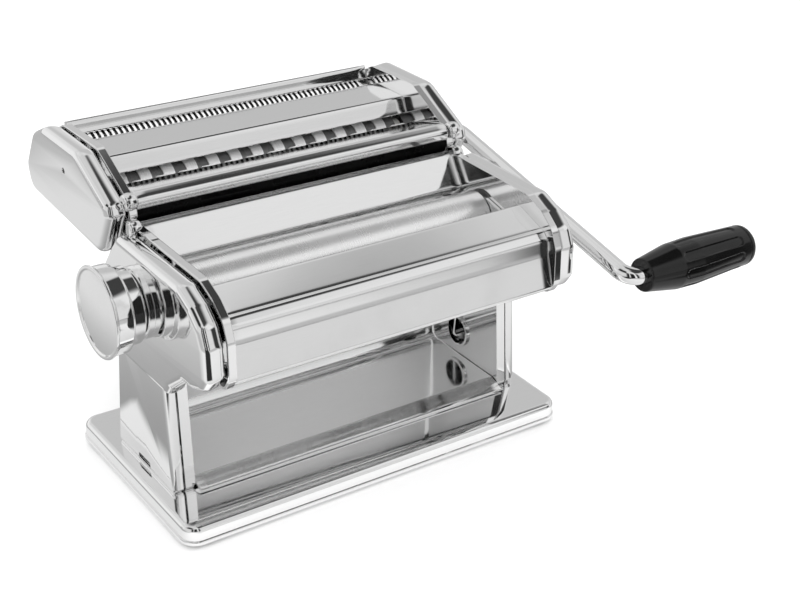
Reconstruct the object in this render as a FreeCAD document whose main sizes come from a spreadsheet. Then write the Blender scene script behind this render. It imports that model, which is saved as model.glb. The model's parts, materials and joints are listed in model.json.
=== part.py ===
"""Hand-cranked pasta machine with a lift-off cutter unit.

Millimetres, +Z up, +X along the rollers towards the crank, +Y towards the cutter unit.
The origin is on the table, midway along and midway across the base plate.
"""
import FreeCAD, Part
import math
import os
import re
import Sketcher
from FreeCAD import Vector

doc = FreeCAD.newDocument("pasta_machine")
sheet = doc.addObject("Spreadsheet::Sheet", "Sizes")

SIZES = {
    # Pressed base pan and its rubber feet
    "base_margin": 9.0,
    "base_length": "=2 * (upright_out + base_margin)",
    "base_width": 122.4,
    "base_top": 12.7,
    "lip_low": 2.5,
    "bead_height": 2.5,
    "bead_out": 0.8,
    "base_corner": 9.2,
    "base_round": 3.0,
    "foot_radius": 9.0,
    "foot_inset": 13.0,
    # Sheet thickness and the fits between pieces
    "sheet_wall": 1.2,
    "thin_wall": 1.0,
    "blade": 0.6,
    "running": 0.05,
    "guide_gap": 0.15,
    "swing_gap": 0.3,
    # Uprights: two channels that close on each other
    "upright_out": "=upright_in + 12",
    "upright_in": "=plate_in + plate_wall",
    "upright_split": "=upright_in + 5.8",
    "split_gap": 0.8,
    "upright_top": "=gear_notch + 8.3",
    "foot_front": -30.7,
    "foot_rear": 31.0,
    "head_front": -22.7,
    "head_rear": 25.7,
    "gear_notch": "=body_top - 54.8",
    "upright_corner": 2.6,
    "upright_round": 1.8,
    "slot_front": -5.0,
    "slot_rear": 7.5,
    "slot_low": 14.6,
    "slot_high": 17.4,
    "clamp_radius": 8.0,
    "clamp_y": 6.8,
    "clamp_z": 31.4,
    "collar_wall": 1.5,
    "collar_deep": 1.2,
    "foot_screw_y": 20.0,
    "screw_radius": 1.5,
    "screw_head": 2.8,
    "head_deep": 1.8,
    "screw_long": 4.0,
    # Side plates, their covers and the gap between them
    "end_gap": 2.5,
    "plate_in": "=roller_half + end_gap",
    "plate_wall": 1.5,
    "rim_width": 4.0,
    "rim_out": "=plate_in + rim_width",
    "cover_in": "=rim_out + 0.4",
    "cover_out": "=cover_in + 11.1",
    "cover_round": 2.2,
    "rim_step": 1.3,
    "body_top": 134.0,
    "body_front": -70.5,
    "skirt_low": "=body_top - 64.5",
    "body_rear": 42.0,
    "corner_big": 8.0,
    "corner_mid": 5.0,
    "corner_small": 2.5,
    # Smooth rollers, tilted so that the rear one lies lower
    "roller_radius": 14.0,
    "roller_half": 90.0,
    "front_y": -7.5,
    "front_z": "=body_top - 24.9",
    "tilt": 20.0,
    "gap_min": 0.6,
    "gap_travel": 4.2,
    "journal": 5.0,
    "drive_journal": 6.4,
    "socket": 4.7,
    "bushing_wall": 2.0,
    "gear_in": "=cover_in + 1.1",
    "gear_out": "=gear_in + 5",
    "gear_teeth": 12,
    "gear_tip": 16.65,
    "gear_root": 11.0,
    "gear_mid": 14.1,
    "tooth_tip": 1.2,
    "tooth_mid": 2.6,
    "tooth_root": 3.2,
    "socket_end": "=cover_out - 1.5",
    "socket_deep": 12.0,
    "slot_deep": 3.5,
    "pin_play": 0.3,
    # Sliding bearing blocks, the bar between them and the thickness knob
    "block_half": 11.0,
    "block_high": 9.5,
    "arm_in": "=roller_half + 0.4",
    "arm_out": "=plate_in - 0.3",
    "block_out": "=rim_out + 0.7",
    "yoke_out": "=block_out + 4",
    "bar_along": -21.0,
    "bar_down": -5.0,
    "bar_radius": 3.0,
    "knob_y": -5.4,
    "eccentric": 2.1,
    "pin_radius": 3.0,
    "yoke_play": 0.55,
    "shaft_radius": 5.0,
    "ring_out": "=cover_out + 3",
    "ring_radius": 17.8,
    "track_radius": 13.0,
    "track_half": 1.5,
    "track_deep": 2.0,
    "index_radius": 1.2,
    "knob_in": "=ring_out + 0.3",
    "knob_neck": 15.8,
    "knob_step": 19.0,
    "knob_band": 21.8,
    "knob_lip": 22.8,
    "knob_long": 19.3,
    "knob_out": "=knob_in + knob_long",
    "spring_wire": 0.8,
    "spring_turns": 3,
    # Cutter unit
    "cap_rise": 27.5,
    "cap_top": "=body_top + cap_rise",
    "cap_rear": 125.5,
    "cutter_radius": 9.0,
    "cutter_apart": 16.6,
    "cutter_half": "=plate_in - 2.9",
    "wide_front_y": 58.6,
    "wide_z": "=cap_top - 30.6",
    "fine_front_y": 89.9,
    "fine_z": "=wide_z + 11.2",
    "ring_clear": 0.2,
    "fine_pitch": 3.15,
    "fine_groove": 1.75,
    "wide_pitch": 13.2,
    "wide_groove": 6.9,
    "cutter_journal": 4.0,
    "cutter_teeth": 14,
    "cutter_tip": 8.8,
    "cutter_root": 7.3,
    "cutter_mid": 8.3,
    "cutter_tooth_tip": 0.9,
    "cutter_tooth_mid": 1.3,
    "cutter_tooth_root": 1.7,
    "hook_y": 27.0,
    "hook_z": "=body_top - 12.5",
    "hook_rod": 2.0,
    "tie_rod": 3.0,
    # Crank and grip
    "crank_radius": 4.65,
    "crank_plane": "=cover_out + 16",
    "crank_bend": 8.4,
    "crank_tip": "=rim_out - 0.5",
    "grip_y": -93.5,
    "grip_z": "=wide_z - 31.7",
    "grip_start": "=crank_plane + crank_bend + 0.1",
    "grip_long": 71.5,
    "grip_end": "=grip_start + grip_long",
    "grip_base": 9.3,
    "grip_body": 12.8,
    "grip_tail": 11.2,
    "grip_flutes": 8,
    "flute_radius": 3.0,
    "flute_deep": 0.7,
    "end_cap": "=grip_end + 4.5",
}
for row, alias in enumerate(SIZES, 1):
    sheet.set(f"A{row}", alias)
    sheet.setAlias(f"B{row}", alias)
for row, size in enumerate(SIZES.values(), 1):
    sheet.set(f"B{row}", str(size))
doc.recompute()

FACING_X = "rotation(vector(0;1;0);90)"
NODES = []


def bound(expression):
    """The expression with the sheet's name before each alias in it."""
    def full_name(word):
        return "Sizes." + word[0] if word[0] in SIZES else word[0]
    return re.sub(r"[a-z]\w*", full_name, str(expression))


def number(expression):
    """The expression's present value."""
    return float(sheet.evalExpression(bound(expression)))


def node(item, name):
    """Give a finished object the label of its sub-part."""
    item.Label = name
    NODES.append(item)
    return item


def place(item, along="0", y="0", z="0", rotation="rotation(vector(1;0;0);0)"):
    """Bind an object's placement to the sheet."""
    item.setExpression("Placement", bound(f"placement(vector({along};{y};{z});{rotation})"))
    return item


def about_x(angle):
    """A turn about the roller direction."""
    return f"rotation(vector(1;0;0);{angle})"


def sketch_in(body, role, offset="0"):
    """A sketch on one of the body's own origin planes."""
    sketch = body.newObject("Sketcher::SketchObject", "sketch")
    plane = next(item for item in body.Origin.OriginFeatures if item.Role == role)
    sketch.AttachmentSupport = [(plane, "")]
    sketch.MapMode = "FlatFace"
    sketch.setExpression("AttachmentOffset.Base.z", bound(offset))
    return sketch


def pin_point(sketch, line, end, across, up):
    """Hold a line's end at two bound coordinates."""
    for kind, expression in (("DistanceX", across), ("DistanceY", up)):
        index = sketch.addConstraint(Sketcher.Constraint(kind, -1, 1, line, end, number(expression)))
        sketch.setExpression(f"Constraints[{index}]", bound(expression))


def path(sketch, points, closed=True):
    """Straight lines through bound points."""
    spots = [Vector(number(across), number(up), 0) for across, up in points]
    start = sketch.GeometryCount
    count = len(spots) if closed else len(spots) - 1
    for index in range(count):
        sketch.addGeometry(Part.LineSegment(spots[index], spots[(index + 1) % len(spots)]), False)
    for index in range(count if closed else count - 1):
        following = start + (index + 1) % count
        sketch.addConstraint(Sketcher.Constraint("Coincident", start + index, 2, following, 1))
    for index in range(count):
        pin_point(sketch, start + index, 1, *points[index])
    if not closed:
        pin_point(sketch, start + count - 1, 2, *points[-1])


def circle(sketch, across, up, radius):
    """A bound circle."""
    shape = Part.Circle(Vector(number(across), number(up), 0), Vector(0, 0, 1), number(radius))
    index = sketch.addGeometry(shape, False)
    pin_point(sketch, index, 3, across, up)
    held = sketch.addConstraint(Sketcher.Constraint("Radius", index, number(radius)))
    sketch.setExpression(f"Constraints[{held}]", bound(radius))


def pad(body, sketch, length, backward=False):
    """Raise a sketch by a bound length."""
    feature = body.newObject("PartDesign::Pad", "pad")
    feature.Profile = sketch
    feature.setExpression("Length", bound(length))
    feature.Reversed = backward
    doc.recompute()
    return feature


def pocket(body, sketch, length, forward=True):
    """Cut a sketch into the body, along its plane's normal when forward."""
    feature = body.newObject("PartDesign::Pocket", "pocket")
    feature.Profile = sketch
    feature.setExpression("Length", bound(length))
    feature.Reversed = forward
    doc.recompute()
    return feature


def fillet(body, base, chosen, radius):
    """Round the edges that the test chooses."""
    names = [f"Edge{index}" for index, edge in enumerate(base.Shape.Edges, 1) if chosen(edge)]
    feature = body.newObject("PartDesign::Fillet", "fillet")
    feature.Base = (base, names)
    feature.setExpression("Radius", bound(radius))
    doc.recompute()
    return feature


def in_plane(axis, level):
    """A test for edges that lie in one plane."""
    def chosen(edge):
        box = edge.BoundBox
        low = getattr(box, axis + "Min")
        high = getattr(box, axis + "Max")
        return abs(low - level) < 1e-4 and abs(high - level) < 1e-4
    return chosen


def runs_along_x(edge):
    """The Y and Z of an edge that runs along X, or None."""
    first = edge.Vertexes[0].Point
    last = edge.Vertexes[-1].Point
    if math.hypot(first.y - last.y, first.z - last.z) > 1e-4 or abs(first.x - last.x) < 1e-4:
        return None
    return first.y, first.z


def along_x_at(spots):
    """A test for edges that run along X through one of the spots."""
    def chosen(edge):
        spot = runs_along_x(edge)
        return spot is not None and any(math.dist(spot, wanted) < 1e-3 for wanted in spots)
    return chosen


def rounded_corners(body, feature, outline):
    """Round each outline corner that states a radius."""
    for radius in sorted({corner[2] for corner in outline}):
        spots = [(number(y), number(z)) for y, z, wanted in outline if wanted == radius]
        feature = fillet(body, feature, along_x_at(spots), radius)
    return feature


def prism(body, outline, side, low, high):
    """A pad between two distances from the middle, on one side of the machine."""
    sketch = sketch_in(body, "YZ_Plane", f"{side} * ({low})")
    path(sketch, [corner[:2] for corner in outline])
    feature = pad(body, sketch, f"({high}) - ({low})", side < 0)
    return rounded_corners(body, feature, [corner for corner in outline if len(corner) == 3])


def side_hole(body, side, low, deep, y, z, radius):
    """A round hole along X, cut outwards from a distance from the middle."""
    sketch = sketch_in(body, "YZ_Plane", f"{side} * ({low})")
    circle(sketch, y, z, radius)
    return pocket(body, sketch, deep, side > 0)


def side_cut(body, side, low, deep, points):
    """A straight-sided cut along X, outwards from a distance from the middle."""
    sketch = sketch_in(body, "YZ_Plane", f"{side} * ({low})")
    path(sketch, points)
    return pocket(body, sketch, deep, side > 0)


def pan(name, side, outline, web, rim, wall, edge_round=None):
    """A pressed shell: a flat web with a flange all round that ends at the rim."""
    body = doc.addObject("PartDesign::Body", name)
    low, high = (web, rim) if number(web) < number(rim) else (rim, web)
    feature = prism(body, outline, side, low, high)
    if edge_round:
        feature = fillet(body, feature, in_plane("X", side * number(web)), edge_round)
    open_side = in_plane("X", side * number(rim))
    faces = [f"Face{index}" for index, face in enumerate(feature.Shape.Faces, 1) if open_side(face)]
    skin = body.newObject("PartDesign::Thickness", "skin")
    skin.Base = (feature, faces)
    skin.Reversed = True
    skin.setExpression("Value", bound(wall))
    doc.recompute()
    return node(body, name)


def bent_sheet(name, points, thickness, half):
    """A bent sheet along X: an open line in the YZ plane, thickened, drawn out and rounded at its bends."""
    line = doc.addObject("Sketcher::SketchObject", name + "_line")
    place(line, f"-({half})", rotation="rotation(vector(1;1;1);120)")
    doc.recompute()
    path(line, [point[:2] for point in points], closed=False)
    skin = doc.addObject("Part::Offset2D", name + "_skin")
    skin.Source = line
    skin.Fill = True
    skin.Join = 2
    skin.setExpression("Value", bound(f"{thickness} / 2"))
    solid = doc.addObject("Part::Extrusion", name + "_sheet")
    solid.Base = skin
    solid.DirMode = "Custom"
    solid.Dir = Vector(1, 0, 0)
    solid.Solid = True
    solid.setExpression("LengthFwd", bound(f"2 * ({half})"))
    doc.recompute()
    return node(bend_rounds(solid, points, number(thickness)), name)


def bend_rounds(solid, points, thickness):
    """Round the inside of each bend by its own radius and the outside by one sheet more."""
    picked = []
    for index in range(1, len(points) - 1):
        before, bend, after = ((number(point[0]), number(point[1])) for point in points[index - 1:index + 2])
        inside = ((before[0] + after[0]) / 2, (before[1] + after[1]) / 2)
        found = []
        for place_in_list, edge in enumerate(solid.Shape.Edges, 1):
            spot = runs_along_x(edge)
            if spot and math.dist(spot, bend) < 2.6 * thickness:
                found.append((math.dist(spot, inside), place_in_list))
        radius = number(points[index][2])
        for turn, (_, place_in_list) in enumerate(sorted(found)):
            size = radius + (thickness if turn else 0)
            picked.append((place_in_list, size, size))
    rounds = doc.addObject("Part::Fillet", solid.Name + "_bends")
    rounds.Base = solid
    rounds.Edges = picked
    doc.recompute()
    return rounds


def turned(body, profile):
    """A solid of revolution about X from (distance along X, radius) points."""
    sketch = sketch_in(body, "XY_Plane")
    path(sketch, profile)
    feature = body.newObject("PartDesign::Revolution", "turn")
    feature.Profile = sketch
    feature.ReferenceAxis = (sketch, ["H_Axis"])
    feature.Angle = 360
    doc.recompute()
    return feature


def cylinder(name, low, high, radius, y="0", z="0"):
    """A plain cylinder along X."""
    item = doc.addObject("Part::Cylinder", name)
    item.setExpression("Radius", bound(radius))
    item.setExpression("Height", bound(f"({high}) - ({low})"))
    return place(item, low, y, z, FACING_X)


def bush(name, side, low, high, radius, bore, y, z):
    """A plain bush along X on one side of the machine."""
    near, far = (low, high) if side > 0 else (f"-({high})", f"-({low})")
    ring = doc.addObject("Part::Cut", name)
    ring.Base = cylinder(name + "_outside", near, far, radius, y, z)
    ring.Tool = cylinder(name + "_bore", near, far, bore, y, z)
    return ring


def group(name, items):
    """Several like solids in one sub-part."""
    joined = doc.addObject("Part::Compound", name + "_group")
    joined.Links = items
    return node(joined, name)


def tilted(along, up):
    """Y and Z of a spot given from the front roller's axis, along and across the line of the roller axes."""
    y = f"front_y + ({along}) * cos(tilt) + ({up}) * sin(tilt)"
    z = f"front_z - ({along}) * sin(tilt) + ({up}) * cos(tilt)"
    return y, z


CRANK_LEAN = "180 deg + atan((grip_z - wide_z) / (grip_y - wide_front_y))"
REAR_APART = "2 * roller_radius + gap_min + gap_travel"
REAR_Y, REAR_Z = tilted(REAR_APART, "0")
HOUSING = [
    ("-44", "body_top", "corner_big"),
    ("-56.3", "body_top - 5.1", "corner_big"),
    ("-65.2", "body_top - 12", "corner_big"),
    ("body_front + 1", "body_top - 21.5", "corner_big"),
    ("body_front", "body_top - 37.5", "corner_mid"),
    ("body_front + 4.5", "body_top - 44.5", "corner_mid"),
]
HOUSING_REAR = [
    ("body_rear", "skirt_low + 17", "corner_mid"),
    ("body_rear - 0.5", "skirt_low + 34", "corner_mid"),
    ("24.4", "body_top - 7.3", "corner_mid"),
    ("18", "body_top", "corner_mid"),
]
COVER_OUTLINE = HOUSING + [
    ("body_front + 15", "body_top - 48", "corner_small"),
    ("-47", "body_top - 48.2", "corner_small"),
    ("-33", "skirt_low + 5.5", "corner_small"),
    ("-29.5", "skirt_low", "corner_small"),
    ("30", "skirt_low", "corner_small"),
] + HOUSING_REAR
CAP_OUTLINE = [
    ("25", "cap_top - 22", "corner_small"),
    ("36", "cap_top - 45.5", "corner_mid"),
    ("cap_rear - 5", "cap_top - 41", "corner_mid"),
    ("cap_rear", "cap_top - 27.6", "corner_mid"),
    ("112.6", "cap_top - 9.8", "corner_mid"),
    ("98", "cap_top - 1.5", "corner_mid"),
    ("60", "cap_top", "corner_big"),
    ("27", "cap_top - 16", "corner_small"),
]


HOUSING_MIDDLE = ("-14", "body_top - 34")
CAP_MIDDLE = ("75", "cap_top - 21.5")


def grown(outline, middle, step):
    """The outline with each corner pushed out from a middle point by the step on each axis."""
    corners = []
    for y, z, radius in outline:
        out_y = "+" if number(y) > number(middle[0]) else "-"
        out_z = "+" if number(z) > number(middle[1]) else "-"
        corners.append((f"{y} {out_y} {step}", f"{z} {out_z} {step}", radius))
    return corners


def rectangle(half_across, half_up):
    """Corners of a rectangle about the middle."""
    return [(f"-{half_across}", f"-{half_up}"), (half_across, f"-{half_up}"), (half_across, half_up),
            (f"-{half_across}", half_up)]


def base_plate():
    """The pressed pan: flat top, rounded upper edge and a beaded lip."""
    body = doc.addObject("PartDesign::Body", "base_solid")
    feature = None
    for out, top in (("0", "lip_low + bead_height"), ("bead_out", "base_top")):
        sketch = sketch_in(body, "XY_Plane", "lip_low")
        half_x = f"(base_length / 2 - {out})"
        half_y = f"(base_width / 2 - {out})"
        path(sketch, rectangle(half_x, half_y))
        feature = pad(body, sketch, f"{top} - lip_low")
    feature = fillet(body, feature, stands_upright, "base_corner")
    feature = fillet(body, feature, in_plane("Z", number("base_top")), "base_round")
    sketch = sketch_in(body, "XY_Plane", "lip_low")
    for x, y in foot_screw_spots():
        circle(sketch, x, y, "screw_radius")
    pocket(body, sketch, "base_top", True)
    block = doc.addObject("Part::Box", "base_hollow")
    wall = "bead_out + sheet_wall"
    block.setExpression("Length", bound(f"base_length - 2 * ({wall})"))
    block.setExpression("Width", bound(f"base_width - 2 * ({wall})"))
    block.setExpression("Height", bound("base_top - sheet_wall"))
    place(block, f"{wall} - base_length / 2", f"{wall} - base_width / 2")
    doc.recompute()
    hollow = doc.addObject("Part::Fillet", "base_hollow_rounds")
    hollow.Base = block
    corner = number("base_corner - sheet_wall")
    inside = number("base_round - sheet_wall")
    top = in_plane("Z", number("base_top - sheet_wall"))
    edges = list(enumerate(block.Shape.Edges, 1))
    hollow.Edges = [(index, corner, corner) for index, edge in edges if stands_upright(edge)] + [
        (index, inside, inside) for index, edge in edges if top(edge)]
    pan_shape = doc.addObject("Part::Cut", "base_pan")
    pan_shape.Base = body
    pan_shape.Tool = hollow
    doc.recompute()
    return node(pan_shape, "base_plate")


def stands_upright(edge):
    """Whether an edge is a vertical line."""
    box = edge.BoundBox
    return box.ZLength > 0.5 and box.XLength + box.YLength < 1e-3


FOOT_SCREW_X = ("(upright_split + upright_out) / 2", "(upright_split + upright_in) / 2")


def foot_screw_spots():
    """Where the uprights are screwed down."""
    return [(f"{side} * {x}", f"{end} * foot_screw_y")
            for side in (1, -1) for x in FOOT_SCREW_X for end in (1, -1)]


def rubber_feet():
    """Four feet held up inside the pan's corners."""
    feet = []
    for side_x in (1, -1):
        for side_y in (1, -1):
            foot = doc.addObject("Part::Cylinder", "foot")
            foot.setExpression("Radius", bound("foot_radius"))
            foot.setExpression("Height", bound("base_top - sheet_wall"))
            x = f"{side_x} * (base_length / 2 - foot_inset)"
            y = f"{side_y} * (base_width / 2 - foot_inset)"
            feet.append(place(foot, x, y))
    return group("rubber_feet", feet)


def foot_screws():
    """Screws from under the pan into the uprights' feet."""
    screws = []
    for x, y in foot_screw_spots():
        screw = doc.addObject("Part::Fuse", "foot_screw")
        parts = []
        for radius, low, high in (
            ("screw_head", "base_top - sheet_wall - head_deep", "base_top - sheet_wall"),
            ("screw_radius", "base_top - sheet_wall", "base_top + screw_long"),
        ):
            piece = doc.addObject("Part::Cylinder", "piece")
            piece.setExpression("Radius", bound(radius))
            piece.setExpression("Height", bound(f"({high}) - ({low})"))
            parts.append(place(piece, x, y, low))
        screw.Base, screw.Tool = parts
        screws.append(screw)
    return group("foot_screws", screws)


UPRIGHT = [
    ("foot_front", "base_top", "upright_corner"),
    ("foot_rear", "base_top", "upright_corner"),
    ("head_rear", "gear_notch", "upright_corner"),
    ("12", "gear_notch", "upright_corner"),
    ("4", "upright_top", "upright_corner"),
    ("head_front", "upright_top", "upright_corner"),
]


def uprights():
    """Outer and inner channels of both uprights."""
    half_gap = "split_gap / 2"
    for side, hand in ((1, "right"), (-1, "left")):
        outer = pan(f"{hand}_upright_outer", side, UPRIGHT, "upright_out", f"upright_split + {half_gap}",
                    "sheet_wall", "upright_round")
        inner = pan(f"{hand}_upright_inner", side, UPRIGHT, "upright_in", f"upright_split - {half_gap}",
                    "sheet_wall")
        for body, x in zip((outer, inner), FOOT_SCREW_X):
            sketch = sketch_in(body, "XY_Plane", "base_top - 1")
            for end in (1, -1):
                circle(sketch, f"{side} * {x}", f"{end} * foot_screw_y", "screw_radius")
            pocket(body, sketch, "sheet_wall + 2")
        if side < 0:
            side_cut(outer, side, "upright_out - 2 * sheet_wall", "3 * sheet_wall", [
                ("slot_front", "slot_low"), ("slot_rear", "slot_low"),
                ("slot_rear", "slot_high"), ("slot_front", "slot_high")])
            continue
        sketch = sketch_in(inner, "YZ_Plane", "upright_in - collar_deep")
        circle(sketch, "clamp_y", "clamp_z", "clamp_radius + collar_wall")
        pad(inner, sketch, "collar_deep + sheet_wall / 2")
        side_hole(inner, side, "upright_in - collar_deep - 1", "collar_deep + sheet_wall + 2",
                  "clamp_y", "clamp_z", "clamp_radius")


PLATE_LOW = [
    ("body_front + 13.5", "upright_top", "corner_small"),
    ("body_rear", "upright_top", "corner_small"),
]


def window(reach, high):
    """Corners of a tilted rectangle about the front roller's path."""
    near, far = f"-({reach})", f"({reach}) + gap_travel"
    return [tilted(near, f"-({high})"), tilted(far, f"-({high})"), tilted(far, high), tilted(near, high)]


def side_plates():
    """Flanged plates that carry the rollers, each with a tongue down the upright."""
    for side, hand in ((1, "right"), (-1, "left")):
        outline = (grown(HOUSING, HOUSING_MIDDLE, "rim_step") + PLATE_LOW
                   + grown(HOUSING_REAR[1:], HOUSING_MIDDLE, "rim_step"))
        body = pan(f"{hand}_side_plate", side, outline, "plate_in", "rim_out", "plate_wall")
        prism(body, [
            ("head_front + 6", "upright_top - 12"), ("head_rear - 6", "upright_top - 12"),
            ("head_rear - 6", "upright_top + 4"), ("head_front + 6", "upright_top + 4"),
        ], side, "plate_in", "plate_in + plate_wall")
        side_cut(body, side, "plate_in - 1", "plate_wall + 2",
                 window("block_half + guide_gap", "block_high + guide_gap"))
        side_hole(body, side, "plate_in - 1", "plate_wall + 2", REAR_Y, REAR_Z,
                  "drive_journal + bushing_wall")


def side_covers():
    """Outer covers; the right one shows the drive socket, the left one passes the knob's shaft."""
    for side, hand in ((1, "right"), (-1, "left")):
        body = pan(f"{hand}_side_cover", side, COVER_OUTLINE, "cover_out", "cover_in", "thin_wall",
                   "cover_round")
        front, rear, high = "foot_front + 5", "foot_rear - 3.5", "skirt_low + 2 * thin_wall"
        side_cut(body, side, "cover_in - 1", "cover_out - cover_in - thin_wall + 1", [
            (front, "skirt_low - 1"), (rear, "skirt_low - 1"), (rear, high), (front, high)])
        if side > 0:
            side_hole(body, side, "cover_out - 2 * thin_wall", "3 * thin_wall", REAR_Y, REAR_Z,
                      "drive_journal + 1.6")
        else:
            side_hole(body, side, "cover_out - 2 * thin_wall", "3 * thin_wall", "knob_y", "front_z",
                      "shaft_radius + swing_gap")


def tie_rods():
    """Rods between the side plates, and the rod that the cutter unit hooks on."""
    rods = [
        cylinder("lower_front_rod", "-plate_in", "plate_in", "tie_rod", "-52", "body_top - 38"),
        cylinder("lower_rear_rod", "-plate_in", "plate_in", "tie_rod", "14", "body_top - 58"),
    ]
    group("tie_rods", rods)
    node(cylinder("hook_rod", "-plate_in", "plate_in", "hook_rod", "hook_y", "hook_z"), "cutter_hook_rod")


def body_sheets():
    """Slide, tray, covers and the fixed scraper between the side plates."""
    bent_sheet("dough_slide", [
        ("-35.2", "base_top + 1.2"), ("-31.5", "base_top + 2.4", "2"), ("-26", "base_top + 4.3", "3"),
        ("31.2", "base_top + 4.3", "5"), ("30.2", "skirt_low + 7.5"),
    ], "thin_wall", "upright_in - swing_gap")
    bent_sheet("feed_tray", [
        ("20", "body_top + 0.5"), ("9.6", "body_top - 14.7", "1.5"), ("13.4", "body_top - 21.6"),
    ], "thin_wall", "plate_in")
    bent_sheet("front_cover", [
        ("-36.8", "body_top - 10.4"), ("-39.8", "body_top - 7", "0.8"),
        ("-59.3", "body_top - 13.5", "3"), ("-62.9", "body_top - 15.4", "2"),
        ("-64.6", "body_top - 24.5", "20"), ("-70.2", "body_top - 42.5", "1.2"), ("-65", "body_top - 43.4"),
    ], "thin_wall", "plate_in")
    bent_sheet("rear_cover", [
        ("20.5", "body_top - 16.7"), ("30", "body_top - 20.8", "6"), ("38.9", "body_top - 29.5", "6"),
        ("40", "body_top - 48", "6"), ("33.2", "body_top - 58"),
    ], "thin_wall", "plate_in")
    y, z = REAR_Y, REAR_Z
    bent_sheet("rear_scraper", [
        (f"{y} + 8.5", f"{z} - 20"), (f"{y} + 8.5", f"{z} - 16", "0.8"), (f"{y} + 3", f"{z} - 14.8"),
    ], "blade", "plate_in")


def tooth(tip, mid, root, tip_radius, mid_radius, root_radius):
    """Half-symmetric outline of one gear tooth, pointing along Y."""
    corners = [(f"{root_radius} - 1", root), (root_radius, root), (mid_radius, mid), (tip_radius, tip)]
    right = [(out, f"-{wide} / 2") for out, wide in corners]
    left = [(out, f"{wide} / 2") for out, wide in reversed(corners)]
    return right + left


def gear(name, teeth, radii, widths, bore, y, z, angle):
    """A spur gear along X inside the right cover, its first tooth at an angle above +Y."""
    tip_radius, mid_radius, root_radius = radii
    body = doc.addObject("PartDesign::Body", name)
    disc = sketch_in(body, "YZ_Plane", "gear_in")
    circle(disc, "0", "0", root_radius)
    pad(body, disc, "gear_out - gear_in")
    shape = sketch_in(body, "YZ_Plane", "gear_in")
    path(shape, tooth(*widths, tip_radius, mid_radius, root_radius))
    one = pad(body, shape, "gear_out - gear_in")
    teeth_round = body.newObject("PartDesign::PolarPattern", "teeth")
    teeth_round.Originals = [one]
    teeth_round.Axis = (shape, ["N_Axis"])
    teeth_round.Angle = 360
    teeth_round.setExpression("Occurrences", bound(teeth))
    body.Tip = teeth_round
    doc.recompute()
    hole = sketch_in(body, "YZ_Plane", "gear_in - 1")
    circle(hole, "0", "0", bore)
    pocket(body, hole, "gear_out - gear_in + 2")
    place(body, y=y, z=z, rotation=about_x(angle))
    return node(body, name)


ROLLER_GEAR = (("gear_tip", "gear_mid", "gear_root"), ("tooth_tip", "tooth_mid", "tooth_root"))
CUTTER_GEAR = (("cutter_tip", "cutter_mid", "cutter_root"),
               ("cutter_tooth_tip", "cutter_tooth_mid", "cutter_tooth_root"))


def smooth_rollers():
    """The two rolling cylinders with their gears; the rear one has a drive socket."""
    rear = doc.addObject("PartDesign::Body", "rear_roller")
    turned(rear, [
        ("-rim_out", "0"), ("-rim_out", "journal"), ("-roller_half", "journal"),
        ("-roller_half", "roller_radius"), ("roller_half", "roller_radius"),
        ("roller_half", "drive_journal"), ("socket_end", "drive_journal"),
        ("socket_end", "socket"), ("socket_end - socket_deep", "socket"), ("socket_end - socket_deep", "0"),
    ])
    socket_slot(rear)
    place(rear, y=REAR_Y, z=REAR_Z, rotation=about_x(CRANK_LEAN))
    node(rear, "rear_roller")
    front = doc.addObject("PartDesign::Body", "front_roller")
    turned(front, [
        ("-rim_out + 0.5", "0"), ("-rim_out + 0.5", "journal"), ("-roller_half", "journal"),
        ("-roller_half", "roller_radius"), ("roller_half", "roller_radius"), ("roller_half", "journal"),
        ("gear_out + 1", "journal"), ("gear_out + 1", "0"),
    ])
    place(front, y="front_y", z="front_z")
    node(front, "front_roller")
    gear("front_roller_gear", "gear_teeth", *ROLLER_GEAR, "journal", "front_y", "front_z", "-tilt")
    gear("rear_roller_gear", "gear_teeth", *ROLLER_GEAR, "drive_journal", REAR_Y, REAR_Z,
         "180 - tilt + 180 / gear_teeth")
    group("roller_bushings", [
        bush("roller_bush", side, "roller_half + 1.5", "rim_out", "drive_journal + bushing_wall",
             f"{bore} + running", REAR_Y, REAR_Z)
        for side, bore in ((1, "drive_journal"), (-1, "journal"))])


def socket_slot(body):
    """The cross slot in the mouth of a drive socket, for the crank's pin."""
    sketch = sketch_in(body, "YZ_Plane", "socket_end - slot_deep")
    path(sketch, rectangle("(index_radius + pin_play)", "(drive_journal + 1)"))
    return pocket(body, sketch, "slot_deep + 1.5")


def cradle():
    """The two bearing blocks of the front roller, the bar that joins them and the blade they carry."""
    arm = [("-24.5", "-12"), ("-24.5", "1"), ("-block_half", "block_high"), ("block_half", "block_high"),
           ("block_half", "-block_high"), ("-9", "-block_high"), ("-9", "-18.5"), ("-17", "-18.5")]
    square = [("-block_half", "-block_high"), ("block_half", "-block_high"), ("block_half", "block_high"),
              ("-block_half", "block_high")]
    for side, hand, outer in ((1, "right", "block_out"), (-1, "left", "yoke_out")):
        body = doc.addObject("PartDesign::Body", f"{hand}_bearing_block")
        prism(body, arm, side, "arm_in", "arm_out")
        prism(body, square, side, "arm_out", outer)
        deep = "block_out + 2" if side > 0 else "rim_out + 0.5"
        side_hole(body, side, "arm_in - 1", f"{deep} - arm_in + 1", "0", "0", "journal + running")
        if side < 0:
            side_cut(body, side, "block_out + 0.6", "yoke_out", yoke_slot())
        place(body, y="front_y", z="front_z", rotation=about_x("-tilt"))
        node(body, f"{hand}_bearing_block")
    y, z = tilted("bar_along", "bar_down")
    node(cylinder("cradle_rod", "-arm_in", "arm_in", "bar_radius", y, z), "cradle_bar")
    bent_sheet("front_scraper", [
        tilted("-15", "-17.5"), (*tilted("-14", "-12.9"), "0.8"), tilted("-3.5", "-14.9"),
    ], "blade", "arm_in")


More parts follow.
